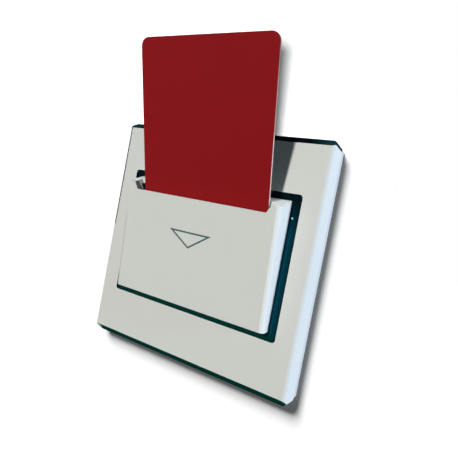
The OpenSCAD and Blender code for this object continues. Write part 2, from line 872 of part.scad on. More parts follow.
// Film capacitor of the dropper supply.
module film_capacitor() {
    color("gold")
    translate([side_x - film_w, board_y - film_d, film_low])
        cube([film_w, film_d, film_h]);
}

// Electrolytic capacitor with its crimped waist.
module electrolytic_capacitor() {
    crimp_d = 0.4;
    color("midnightblue")
    translate([side_x - can_r, board_y, film_low + film_h + part_gap + can_r])
        rotate([90, 0, 0])
            rotate_extrude()
                polygon([[0, 0], [can_r, 0], [can_r, crimp_at - crimp_d], [can_r - crimp_d, crimp_at],
                         [can_r, crimp_at + crimp_d], [can_r, can_h - crimp_d], [can_r - crimp_d, can_h],
                         [0, can_h]]);
}

// Varistor disc that guards against surges.
module varistor() {
    stem = 1.2;
    color("steelblue")
    translate([side_x - disc_t, board_y - disc_r - stem, film_low - disc_r - part_gap])
        rotate([0, 90, 0]) {
            cylinder(r = disc_r, h = disc_t);
            translate([-stem, 0, 0])
                cube([2 * stem, disc_r + stem, disc_t]);
        }
}

// Block with a wire entry below and a screw well behind for each terminal.
module terminal_block() {
    color("seagreen")
    difference() {
        translate([-block_w / 2, board_back, block_low])
            cube([block_w, terminal_d, terminal_h]);
        terminals() {
            translate([0, clamp_mid_y, block_low + (clamp_floor + clamp_h) / 2])
                cube([clamp_w + 2 * fit_gap, clamp_d + 2 * fit_gap, clamp_floor + clamp_h + 2 * fit_gap],
                     center = true);
            translate([0, 0, clamp_mid_z]) {
                rod(screw_r + fit_gap, clamp_mid_y, block_back + 1);
                rod(well_r + fit_gap, block_back - well_d, block_back + 1);
            }
        }
    }
}

// One copy of the children for each terminal.
module terminals() {
    for (i = [0 : terminal_count - 1])
        translate([(i - (terminal_count - 1) / 2) * terminal_pitch, 0, 0])
            children();
}

// Brass cages that grip the wires.
module terminal_clamps() {
    color("goldenrod")
    terminals()
        difference() {
            translate([0, clamp_mid_y, clamp_mid_z])
                cube([clamp_w, clamp_d, clamp_h], center = true);
            translate([0, clamp_mid_y, block_low])
                cylinder(r = wire_entry_r, h = 3 * clamp_h);
            translate([0, 0, clamp_mid_z])
                rod(screw_r + screw_gap, clamp_mid_y, block_back);
        }
}

// Screws of the terminals, heads in their wells.
module terminal_screws() {
    seat_y = block_back - well_d;
    head = well_d * 3 / 4;
    color("silver")
    terminals()
        translate([0, 0, clamp_mid_z]) {
            rod(screw_r, clamp_mid_y + wire_entry_r + fit_gap, seat_y + eps);
            difference() {
                rod(well_r, seat_y, seat_y + head);
                translate([-head_r, seat_y + head / 2, -screw_slot / 2])
                    cube([2 * head_r, head, screw_slot]);
            }
        }
}

front_frame();
inner_bezel();
pocket_cover();
card_guide();
key_card();
indicator_led();
mounting_yoke();
bezel_screws();
housing();
housing_screws();
rear_cover();
lever();
lever_pin();
lever_spring();
microswitch_case();
microswitch_plunger();
microswitch_tabs();
circuit_board();
relay();
film_capacitor();
electrolytic_capacitor();
varistor();
terminal_block();
terminal_clamps();
terminal_screws();
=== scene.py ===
"""Looks of the hotel key card switch: plate, pocket, card, arrow, lamp and the inner pieces' finishes."""

import logging
import math
from dataclasses import dataclass, field
from enum import Enum
from typing import Any, Callable

import bpy
from mathutils import Matrix, Vector

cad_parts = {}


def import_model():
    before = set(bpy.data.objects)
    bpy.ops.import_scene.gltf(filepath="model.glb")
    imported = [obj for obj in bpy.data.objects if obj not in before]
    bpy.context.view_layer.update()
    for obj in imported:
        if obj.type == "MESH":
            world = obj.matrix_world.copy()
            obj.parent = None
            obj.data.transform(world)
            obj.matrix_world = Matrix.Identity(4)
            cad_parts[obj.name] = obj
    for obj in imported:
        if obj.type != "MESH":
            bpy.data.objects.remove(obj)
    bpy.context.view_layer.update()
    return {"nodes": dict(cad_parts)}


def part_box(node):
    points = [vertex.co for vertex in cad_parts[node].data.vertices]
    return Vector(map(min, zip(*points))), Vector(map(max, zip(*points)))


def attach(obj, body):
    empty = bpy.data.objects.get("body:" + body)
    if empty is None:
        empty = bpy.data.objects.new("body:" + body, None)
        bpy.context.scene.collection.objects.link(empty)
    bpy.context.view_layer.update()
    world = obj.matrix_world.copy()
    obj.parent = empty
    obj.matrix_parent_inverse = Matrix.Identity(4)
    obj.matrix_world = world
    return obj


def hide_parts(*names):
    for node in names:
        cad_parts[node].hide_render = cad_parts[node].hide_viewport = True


LOG = logging.getLogger("key_card_switch")
Piece = bpy.types.Object
Tree = bpy.types.NodeTree
Socket = bpy.types.NodeSocket
Point = tuple[float, float, float]
Test = Callable[[Vector, Vector], bool]
MM = 0.001
# Reach in mm within which two places agree, and within which corners merge
NEAR, MERGED = 0.01, 0.001
# Cosines that tell directions apart: along an axis, half turned to it, leaning to it, just off square to it
ALONG, HALF_TURNED, LEANING, OFF_SQUARE = 0.9, 0.5, 0.3, 0.05
# Foot of the card in mm and its lean in degrees, which its slot shares
CARD_FOOT: Point = (0.0, -3.209, -8.779)
CARD_TILT = 18.3
# Foot of the pocket's front in mm and its lean in degrees, which the print on it shares
FRONT_FOOT: Point = (0.0, -11.3, -23.0)
FRONT_LEAN = 5.353


class Element(Enum):
    """Kind of mesh element that a selection picks."""

    VERTEX = 0
    EDGE = 1
    FACE = 2


class Carve(Enum):
    """What a tool does to the piece it is used on."""

    CUT = "DIFFERENCE"
    JOIN = "UNION"


class Lay(Enum):
    """Direction in which a surface's grain is drawn out, as a scale of its coordinates."""

    EVEN = (1.0, 1.0, 1.0)
    ALONG_X = (0.06, 1.0, 1.0)
    ALONG_Z = (1.0, 1.0, 0.06)


class Axis(Enum):
    """Direction along which a finish changes its tone: out from the middle to both sides, or up."""

    SIDEWAYS = "x"
    UP = "z"


class Reach(Enum):
    """What a lamp lights: the pieces, the pieces and the floor, or one of the wall boards alone."""

    PIECES = "pieces"
    ROOM = "room"
    BOARD = "board"
    UPPER = "upper"


class Figure(Enum):
    """Texture that gives a finish its fine relief."""

    GRIT = "ShaderNodeTexNoise"
    SPANGLE = "ShaderNodeTexVoronoi"


def linear(colour: str) -> tuple[float, float, float, float]:
    """Turn an sRGB hex colour into linear RGBA."""
    parts = [int(colour[i:i + 2], 16) / 255 for i in (1, 3, 5)]
    red, green, blue = (c / 12.92 if c <= 0.04045 else ((c + 0.055) / 1.055) ** 2.4 for c in parts)
    return red, green, blue, 1.0


def add_node(tree: Tree, kind: str, settings: dict[str, Any] | None = None,
             inputs: dict[Any, Any] | None = None) -> bpy.types.Node:
    """Add a node with its settings and links.

    Args:
        tree: the node tree that takes the node.
        kind: the node's type name.
        settings: properties of the node itself.
        inputs: sockets by name or number; a socket given as value is linked, anything else is set.

    Returns:
        The new node.
    """
    node = tree.nodes.new(kind)
    for key, value in (settings or {}).items():
        setattr(node, key, value)
    for key, value in (inputs or {}).items():
        if isinstance(value, Socket):
            tree.links.new(value, node.inputs[key])
        else:
            node.inputs[key].default_value = value
    return node


@dataclass(frozen=True)
class Finish:
    """A material: what it is made of, and how its surface was made."""

    name: str
    light: str
    dark: str
    worn: str
    patch_mm: float
    grit_mm: float
    relief_mm: float
    rough: tuple[float, float]
    metallic: float = 0.0
    ior: float = 1.5
    gloss: float = 0.5
    glow: float = 0.0
    edge_mm: float = 0.12
    lay: Lay = Lay.EVEN
    figure: Figure = Figure.GRIT

    def build(self) -> bpy.types.Material:
        """Make the material: a slow drift between two colours, rubbed edges and a fine relief.

        Returns:
            The finished material.
        """
        material = bpy.data.materials.new(self.name)
        material.use_nodes = True
        tree = material.node_tree
        tree.nodes.clear()
        place = add_node(tree, "ShaderNodeTexCoord").outputs["Object"]
        drawn = add_node(tree, "ShaderNodeMapping", inputs={
            "Vector": place, "Scale": self.lay.value}).outputs[0]
        patch = add_node(tree, "ShaderNodeTexNoise", inputs={
            "Vector": drawn, "Scale": 1 / (self.patch_mm * MM), "Detail": 5.0, "Roughness": 0.6}).outputs[0]
        grit = add_node(tree, self.figure.value, inputs={
            "Vector": drawn, "Scale": 1 / (self.grit_mm * MM), "Detail": 2.0}).outputs[0]
        edge = add_node(tree, "ShaderNodeBevel", {"samples": 6}, {"Radius": self.edge_mm * MM}).outputs[0]
        flat = add_node(tree, "ShaderNodeNewGeometry").outputs["Normal"]
        turn = add_node(tree, "ShaderNodeVectorMath", {"operation": "DOT_PRODUCT"}, {
            0: edge, 1: flat}).outputs["Value"]
        rub = add_node(tree, "ShaderNodeMapRange", inputs={
            "Value": turn, "From Min": 0.99, "From Max": 0.8, "To Min": 0.0, "To Max": 0.8}).outputs[0]
        drift = add_node(tree, "ShaderNodeMix", {"data_type": "RGBA"}, {
            0: patch, 6: linear(self.light), 7: linear(self.dark)}).outputs[2]
        colour = add_node(tree, "ShaderNodeMix", {"data_type": "RGBA"}, {
            0: rub, 6: self.pattern(tree, place, drift), 7: linear(self.worn)}).outputs[2]
        rough = add_node(tree, "ShaderNodeMapRange", inputs={
            "Value": patch, "From Min": 0.3, "From Max": 0.7,
            "To Min": self.rough[0], "To Max": self.rough[1]}).outputs[0]
        normal = add_node(tree, "ShaderNodeBump", inputs={
            "Strength": 0.6, "Distance": self.relief_mm * MM, "Height": grit, "Normal": edge}).outputs[0]
        inputs = {"Base Color": colour, "Roughness": rough, "Normal": normal, "Metallic": self.metallic,
                  "IOR": self.ior, "Specular IOR Level": self.gloss}
        if self.glow:
            inputs |= {"Emission Color": colour, "Emission Strength": self.glow}
        shader = add_node(tree, "ShaderNodeBsdfPrincipled", inputs=inputs)
        add_node(tree, "ShaderNodeOutputMaterial", inputs={"Surface": shader.outputs[0]})
        return material

    def pattern(self, tree: Tree, place: Socket, drift: Socket) -> Socket:
        """Return the colour as it is; a patterned finish draws on it."""
        return drift


@dataclass(frozen=True)
class BoardMask(Finish):
    """Solder mask over etched copper: paler tracks show through the green."""

    track: str = "#3E7A4C"
    pitch_mm: float = 1.27

    def pattern(self, tree: Tree, place: Socket, drift: Socket) -> Socket:
        """Lay staggered tracks over the mask.

        Args:
            tree: the material's node tree.
            place: object coordinates.
            drift: the mask's own colour.

        Returns:
            The colour with tracks.
        """
        turned = add_node(tree, "ShaderNodeMapping", inputs={
            "Vector": place, "Rotation": (math.pi / 2, 0.0, 0.0)}).outputs[0]
        grid = add_node(tree, "ShaderNodeTexBrick", inputs={
            "Vector": turned, "Scale": 1 / (self.pitch_mm * MM), "Mortar Size": 0.09,
            "Brick Width": 5.0, "Row Height": 1.0}).outputs["Fac"]
        return add_node(tree, "ShaderNodeMix", {"data_type": "RGBA"}, {
            0: grid, 6: drift, 7: linear(self.track)}).outputs[2]


@dataclass(frozen=True)
class Toned(Finish):
    """A finish that changes its colour along the piece, each tone by its axis and its reach in mm."""

    tones: tuple[tuple[Axis, float, float, str], ...] = ()

    def pattern(self, tree: Tree, place: Socket, drift: Socket) -> Socket:
        """Change the colour along the piece.

        Args:
            tree: the material's node tree.
            place: object coordinates.
            drift: the finish's own colour.

        Returns:
            The colour with its tones.
        """
        parts = add_node(tree, "ShaderNodeSeparateXYZ", inputs={0: place}).outputs
        away = add_node(tree, "ShaderNodeMath", {"operation": "ABSOLUTE"}, {0: parts["X"]}).outputs[0]
        colour = drift
        for axis, start, end, tone in self.tones:
            share = add_node(tree, "ShaderNodeMapRange", inputs={
                "Value": away if axis is Axis.SIDEWAYS else parts["Z"],
                "From Min": start * MM, "From Max": end * MM}).outputs[0]
            colour = add_node(tree, "ShaderNodeMix", {"data_type": "RGBA"}, {
                0: share, 6: colour, 7: linear(tone)}).outputs[2]
        return colour


# Spark-eroded textures, drawn lines and grit are finer than 0.1 mm in life. They are drawn at 0.25 mm or
# more, so that they show.
# Spray-lacquered ABS: an even silver-grey with a faint orange peel and a soft broad gloss
PLATE_LACQUER = Finish(
    "lacquered_abs_silver_grey", "#D3D4D0", "#CECFCB", "#D9D9D5", patch_mm=14, grit_mm=0.9,
    relief_mm=0.003, rough=(0.42, 0.5), gloss=0.1, edge_mm=0.2)
# The pocket is the same lacquer over a finer spark-eroded mould, so it is a little more satin; it is also
# painted a little lighter than the plate, as painted light that makes up for the lesser light on its leaning
# front
POCKET_LACQUER = Finish(
    "lacquered_abs_satin_grey", "#D7D8D4", "#D2D3CF", "#DDDEDB", patch_mm=12, grit_mm=0.6,
    relief_mm=0.004, rough=(0.46, 0.54), gloss=0.18, edge_mm=0.2)
# The plate's lacquer on its right bevel and lower left tip, as painted shade: a darker, cool, slightly
# lavender copy that evens out the strong bluish light there
BEVEL_SHADED_LACQUER = Finish(
    "painted_shade_cool_silver_lacquer", "#C4CACC", "#BFC5C7", "#CCD1D3", patch_mm=14, grit_mm=2.0,
    relief_mm=0.002, rough=(0.48, 0.56), gloss=0.1, edge_mm=0.1)
# The pocket's sides, as painted shade: the same grey a little deeper and cooler, evening out the strong side
# light
POCKET_SHADED_SIDE = Finish(
    "painted_shade_side_abs_grey", "#CCD0CF", "#C7CBCA", "#D2D5D4", patch_mm=12, grit_mm=0.6,
    relief_mm=0.004, rough=(0.48, 0.56), gloss=0.12, edge_mm=0.1)
# The pocket's left front edge, as painted shade: the same grey darkened and without gloss, fading to pale
# above its middle
POCKET_EDGE_SHADE = Toned(
    "painted_edge_shade_abs_grey", "#BCBDB7", "#B7B8B2", "#BCBDB7", patch_mm=12, grit_mm=0.4,
    relief_mm=0.004, rough=(0.7, 0.8), gloss=0.0, edge_mm=0.2, tones=((Axis.UP, 5.0, 10.0, "#DCDDD9"),))
# Painted shade and painted dark reflection on the plate's bevels and window walls: black teal, lighter
# towards the left and right ends, and bottle green on the lower faces
EDGE_SHADE_DARK = Toned(
    "painted_shade_black_teal", "#030F11", "#020A0C", "#0A2A30", patch_mm=10, grit_mm=2.0,
    relief_mm=0.001, rough=(0.3, 0.4), gloss=0.0, edge_mm=0.1,
    tones=((Axis.SIDEWAYS, 36.0, 43.0, "#10323A"),))
EDGE_SHADE_GREEN = Finish(
    "painted_shade_bottle_green", "#034C43", "#023E37", "#095A4F", patch_mm=10, grit_mm=2.0,
    relief_mm=0.001, rough=(0.3, 0.4), gloss=0.0, edge_mm=0.1)
# Unpainted back of the moulding: matt pale grey with a fine spark texture
RAW_MOULDING = Finish(
    "moulded_abs_unpainted_grey", "#C9C8C2", "#BEBDB7", "#D4D3CE", patch_mm=7, grit_mm=0.35,
    relief_mm=0.01, rough=(0.55, 0.66), edge_mm=0.15)
# Gloss moulded ring: deep teal, with painted shade that makes it darker along its outer edge, blackish above
# the pocket and greener below it; its glow is painted light
BEZEL_TEAL_SHADE_GLOW = Toned(
    "polished_abs_dark_teal_painted_shade_glow", "#033444", "#022B39", "#0B4656", patch_mm=8, grit_mm=1.2, relief_mm=0.002,
    rough=(0.3, 0.4), gloss=0.01, glow=0.4, edge_mm=0.1,
    tones=((Axis.SIDEWAYS, 34.9, 35.4, "#02262E"), (Axis.UP, 11.0, 23.4, "#010E14"),
           (Axis.UP, -23.4, -24.2, "#012B27")))
# Laminated PVC printed in one flat red: faint calendering grain and a soft gloss
CARD_PRINT = Finish(
    "laminated_pvc_printed_red", "#94181D", "#8D161A", "#A13439", patch_mm=22, grit_mm=0.4,
    relief_mm=0.003, rough=(0.44, 0.52), gloss=0.06, edge_mm=0.05, lay=Lay.ALONG_Z)
# Punched edge of the card: the white core under a pink smear of ink, darker in two steps towards its top end
CARD_CORE = Toned(
    "punched_pvc_smeared_core", "#D6BCB4", "#CFB3AB", "#C0A199", patch_mm=3, grit_mm=0.3, relief_mm=0.004,
    rough=(0.5, 0.6), gloss=0.2, edge_mm=0.05,
    tones=((Axis.UP, 41.5, 44.0, "#A07E76"), (Axis.UP, 58.0, 64.0, "#7C5D55")))
# Magnetic tape bonded to the card's back: dark brown, slightly glossier than the print
CARD_TAPE = Finish(
    "bonded_magnetic_tape_brown", "#2A1D18", "#231712", "#3A2A24", patch_mm=10, grit_mm=0.3,
    relief_mm=0.002, rough=(0.3, 0.36), edge_mm=0.05, lay=Lay.ALONG_Z)
# Pad-printed ink: thin, matt and slightly uneven in cover
ARROW_INK = Finish(
    "pad_printed_ink_dark_green", "#104A3A", "#0C3E30", "#1D5848", patch_mm=1.2, grit_mm=0.25,
    relief_mm=0.004, rough=(0.5, 0.65), edge_mm=0.02)
# Clear moulded lens over a lit lamp: pale and bright
LENS_CLEAR = Finish(
    "moulded_acrylic_lens", "#A9DCE8", "#8FC8D6", "#CDEEF4", patch_mm=0.8, grit_mm=0.3, relief_mm=0.002,
    rough=(0.1, 0.2), ior=1.49, glow=0.15, edge_mm=0.05)
# Glass-filled guide: grey-brown and dry, with fine flow marks along the card's path; the same grey-brown is
# painted as shade on the left end wall of the pocket's notch
GUIDE_MATT_AND_NOTCH_SHADE = Finish(
    "moulded_nylon_grey_brown_and_notch_shade", "#7A716C", "#6A625E", "#8D857F", patch_mm=5, grit_mm=0.3, relief_mm=0.012,
    rough=(0.6, 0.72), lay=Lay.ALONG_Z)
# Zinc-plated pressed steel: crystalline patches of slightly different brightness
YOKE_ZINC = Finish(
    "zinc_plated_pressed_steel", "#C9CCCE", "#A9ADB0", "#E2E4E5", patch_mm=5, grit_mm=1.6,
    relief_mm=0.012, rough=(0.28, 0.42), metallic=1.0, figure=Figure.SPANGLE)
# Zinc-plated screws: turned rings and bright rubbed slot edges
SCREW_ZINC = Finish(
    "zinc_plated_turned_steel", "#CFCFCB", "#AEB0AF", "#EDEDEA", patch_mm=1.5, grit_mm=0.35,
    relief_mm=0.008, rough=(0.22, 0.36), metallic=1.0)
# Moulded polycarbonate box: pale grey, spark-eroded texture, a little gloss at rubbed edges
HOUSING_GREY = Finish(
    "moulded_polycarbonate_light_grey", "#DAD9D3", "#CFCEC8", "#E6E5E1", patch_mm=8, grit_mm=0.4,
    relief_mm=0.014, rough=(0.46, 0.58), edge_mm=0.2)
# The snap-in back is another moulding of the same resin, a shade darker
COVER_GREY = Finish(
    "moulded_polycarbonate_mid_grey", "#CDCCC6", "#C1C0BA", "#DCDBD6", patch_mm=8, grit_mm=0.4,
    relief_mm=0.014, rough=(0.46, 0.6), edge_mm=0.2)
# Acetal lever: waxy orange-brown with soft highlights
LEVER_ACETAL = Finish(
    "moulded_acetal_amber", "#CE8B42", "#C07D36", "#DDA25E", patch_mm=4, grit_mm=0.4, relief_mm=0.006,
    rough=(0.34, 0.46))
# Ground pin and drawn spring wire: fine lines along the axis
PIN_GROUND = Finish(
    "ground_silver_steel", "#C8C8C6", "#ABABAA", "#E4E4E2", patch_mm=1, grit_mm=0.25, relief_mm=0.004,
    rough=(0.18, 0.3), metallic=1.0, lay=Lay.ALONG_X)
SPRING_WIRE = Finish(
    "drawn_spring_steel_wire", "#A9A8A5", "#8C8B89", "#C6C5C2", patch_mm=0.8, grit_mm=0.25,
    relief_mm=0.004, rough=(0.25, 0.38), metallic=1.0)
# Moulded switch case and plunger: matt black resin and a red acetal button
CASE_BLACK = Finish(
    "moulded_pbt_black", "#232424", "#191A1A", "#3A3B3B", patch_mm=4, grit_mm=0.35, relief_mm=0.012,
    rough=(0.48, 0.6))
PLUNGER_RED = Finish(
    "moulded_acetal_red", "#BE3F26", "#AE3620", "#D0604A", patch_mm=1.5, grit_mm=0.3, relief_mm=0.005,
    rough=(0.35, 0.45), edge_mm=0.08)
# Stamped brass: warm, with a drawn grain and brighter sheared edges
BRASS = Finish(
    "stamped_brass", "#CFAE6B", "#B28F4E", "#E6CB91", patch_mm=2, grit_mm=0.3, relief_mm=0.008,
    rough=(0.25, 0.4), metallic=1.0, lay=Lay.ALONG_X)
# Epoxy-glass board under solder mask: a soft green gloss, and straw-coloured glass at its cut edges
BOARD_GREEN = BoardMask(
    "solder_masked_epoxy_board", "#1F6B3C", "#185B32", "#8C8A55", patch_mm=6, grit_mm=0.4, relief_mm=0.01,
    rough=(0.3, 0.42), edge_mm=0.1)
# Boxed, sleeved and dipped components, each in its usual colour
RELAY_BLUE = Finish(
    "moulded_pbt_blue", "#2A5BA6", "#234F95", "#4A79BC", patch_mm=5, grit_mm=0.35, relief_mm=0.01,
    rough=(0.4, 0.52))
CAPACITOR_YELLOW = Finish(
    "potted_pbt_yellow", "#D2B240", "#C2A236", "#E0C666", patch_mm=4, grit_mm=0.35, relief_mm=0.01,
    rough=(0.4, 0.52))
SLEEVE_DARK = Finish(
    "heat_shrunk_pvc_sleeve_navy", "#22284C", "#1B2040", "#3A4068", patch_mm=3, grit_mm=0.5,
    relief_mm=0.006, rough=(0.24, 0.34))
VARISTOR_BLUE = Finish(
    "dipped_epoxy_blue", "#3D6FA8", "#346296", "#5C8ABD", patch_mm=2.5, grit_mm=1.2, relief_mm=0.05,
    rough=(0.3, 0.42))
TERMINAL_GREEN = Finish(
    "moulded_nylon_green", "#3D8A52", "#347A47", "#58A06B", patch_mm=5, grit_mm=0.35, relief_mm=0.01,
    rough=(0.42, 0.54))

MADE: dict[str, bpy.types.Material] = {}


def material_of(finish: Finish) -> bpy.types.Material:
    """Return a finish's material, built once."""
    if finish.name not in MADE:
        MADE[finish.name] = finish.build()
    return MADE[finish.name]


def settle() -> None:
    """Go back to object mode with nothing selected."""
    if bpy.context.object and bpy.context.object.mode != "OBJECT":
        bpy.ops.object.mode_set(mode="OBJECT")
    bpy.ops.object.select_all(action="DESELECT")


def hold(obj: Piece) -> None:
    """Make one object the only selected and active one."""
    settle()
    obj.select_set(True)
    bpy.context.view_layer.objects.active = obj


def block(name: str, low: Point, high: Point) -> Piece:
    """Add a cube and fit it to a box.

    Args:
        name: name of the object and its mesh.
        low: lowest corner in mm.
        high: highest corner in mm.

    Returns:
        The object, at the origin with its place in its mesh.
    """
    settle()
    centre = [(a + b) / 2 * MM for a, b in zip(low, high)]
    bpy.ops.mesh.primitive_cube_add(size=1.0, location=centre)
    obj = bpy.context.object
    obj.name = obj.data.name = name
    obj.scale = [(b - a) * MM for a, b in zip(low, high)]
    bpy.ops.object.transform_apply(location=True, rotation=True, scale=True)
    return obj


def apply_modifier(obj: Piece, kind: str, **settings: Any) -> None:
    """Finish an object with a modifier.

    Args:
        obj: the mesh object.
        kind: the modifier's type.
        settings: the modifier's properties.
    """
    hold(obj)
    modifier = obj.modifiers.new(kind.lower(), kind)
    for key, value in settings.items():
        setattr(modifier, key, value)
    bpy.ops.object.modifier_apply(modifier=modifier.name)


def pick(obj: Piece, kind: Element, test: Test) -> None:
    """Enter edit mode with only the elements selected that pass a test.

    Args:
        obj: the mesh object.
        kind: which elements are tested.
        test: takes an element's place in mm, and its normal or, for an edge, its direction.
    """
    hold(obj)
    mesh = obj.data
    for group in (mesh.vertices, mesh.edges, mesh.polygons):
        group.foreach_set("select", [False] * len(group))
    if kind is Element.VERTEX:
        rows = [(v, v.co, v.normal) for v in mesh.vertices]
    elif kind is Element.FACE:
        rows = [(p, p.center, p.normal) for p in mesh.polygons]
    else:
        ends = [(e, mesh.vertices[e.vertices[0]].co, mesh.vertices[e.vertices[1]].co) for e in mesh.edges]
        rows = [(e, (a + b) / 2, (b - a).normalized()) for e, a, b in ends]
    for item, place, aim in rows:
        if test(place / MM, aim):
            item.select = True
    bpy.context.tool_settings.mesh_select_mode = [kind is k for k in Element]
    bpy.ops.object.mode_set(mode="EDIT")


def push(obj: Piece, by: Point, test: Test) -> None:
    """Move the corners that pass a test.

    Args:
        obj: the mesh object.
        by: the way they go in mm.
        test: takes a corner's place in mm and its normal.
    """
    pick(obj, Element.VERTEX, test)
    bpy.ops.transform.translate(value=[c * MM for c in by])
    settle()


def widen(obj: Piece, share: float, test: Test) -> None:
    """Stretch the corners that pass a test along X, from the middle.

    Args:
        obj: the mesh object.
        share: the new width as a share of the old one.
        test: takes a corner's place in mm and its normal.
    """
    pick(obj, Element.VERTEX, test)
    bpy.ops.transform.resize(value=(share, 1.0, 1.0), center_override=(0.0, 0.0, 0.0))
    settle()


def split(obj: Piece, place: Point, across: Point, test: Test, **options: Any) -> None:
    """Divide the faces that pass a test along a plane.

    Args:
        obj: the mesh object.
        place: a point of the plane in mm.
        across: the plane's normal.
        test: takes a face's middle in mm and its normal.
        options: more options of the bisect operator.
    """
    pick(obj, Element.FACE, test)
    bpy.ops.mesh.bisect(plane_co=[c * MM for c in place], plane_no=across, **options)
    settle()


def round_edges(obj: Piece, size: float, steps: int, test: Test) -> None:
    """Bevel the edges that pass a test.

    Args:
        obj: the mesh object.
        size: width of the bevel in mm.
        steps: segments of the bevel.
        test: takes an edge's middle in mm and its direction.
    """
    pick(obj, Element.EDGE, test)
    bpy.ops.mesh.bevel(offset=size * MM, segments=steps, profile=0.5, affect="EDGES", clamp_overlap=True)
    settle()


def carve(obj: Piece, tool: Piece, way: Carve = Carve.CUT) -> None:
    """Cut a tool out of an object, or join it on, and remove the tool.

    Args:
        obj: the object that is kept.
        tool: the object that is used up.
        way: what the tool does.
    """
    apply_modifier(obj, "BOOLEAN", operation=way.value, solver="EXACT", object=tool)
    mesh = tool.data
    bpy.data.objects.remove(tool)
    bpy.data.meshes.remove(mesh)


def smooth(obj: Piece, angle: float = 32.0) -> None:
    """Merge doubles and shade an object smooth, except across its sharp edges.

    Args:
        obj: the mesh object.
        angle: largest angle in degrees that is shaded smooth.
    """
    pick(obj, Element.VERTEX, lambda place, aim: True)
    bpy.ops.mesh.remove_doubles(threshold=MERGED * MM)
    bpy.ops.object.mode_set(mode="OBJECT")
    bpy.ops.object.shade_smooth_by_angle(angle=math.radians(angle))
    apply_modifier(obj, "WEIGHTED_NORMAL", weight=100, keep_sharp=True)


def place_in_mesh(obj: Piece, location: Point, turn_x: float) -> None:
    """Turn an object about X, move it and write both into its mesh.

    Args:
        obj: the object, at the origin.
        location: where its origin goes, in mm.
        turn_x: turn about X in degrees.
    """
    hold(obj)
    obj.rotation_euler = (math.radians(turn_x), 0.0, 0.0)
    obj.location = [c * MM for c in location]
    bpy.ops.object.transform_apply(location=True, rotation=True, scale=True)


def dress(obj: Piece, finishes: list[Finish], choose: Callable[[Vector, Vector], Finish]) -> None:
    """Give an object its finishes, face by face.

    Args:
        obj: the mesh object.
        finishes: the object's finishes, in order.
        choose: takes a face's middle in mm and its normal, and gives its finish.
    """
    obj.data.materials.clear()
    for finish in finishes:
        obj.data.materials.append(material_of(finish))
    for face in obj.data.polygons:
        face.material_index = finishes.index(choose(face.center / MM, face.normal))


def seat(obj: Piece, body: str, slot: str, *nodes: str) -> None:
    """Hand a finished piece to the frame.

    Args:
        obj: the finished piece.
        body: the body it rides on.
        slot: the record's material slot; not used.
        nodes: the CAD nodes it stands for.
    """
    settle()
    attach(obj, body)
    if nodes:
        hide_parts(*nodes)
    LOG.info("%s: %d faces on %s", obj.name, len(obj.data.polygons), body)


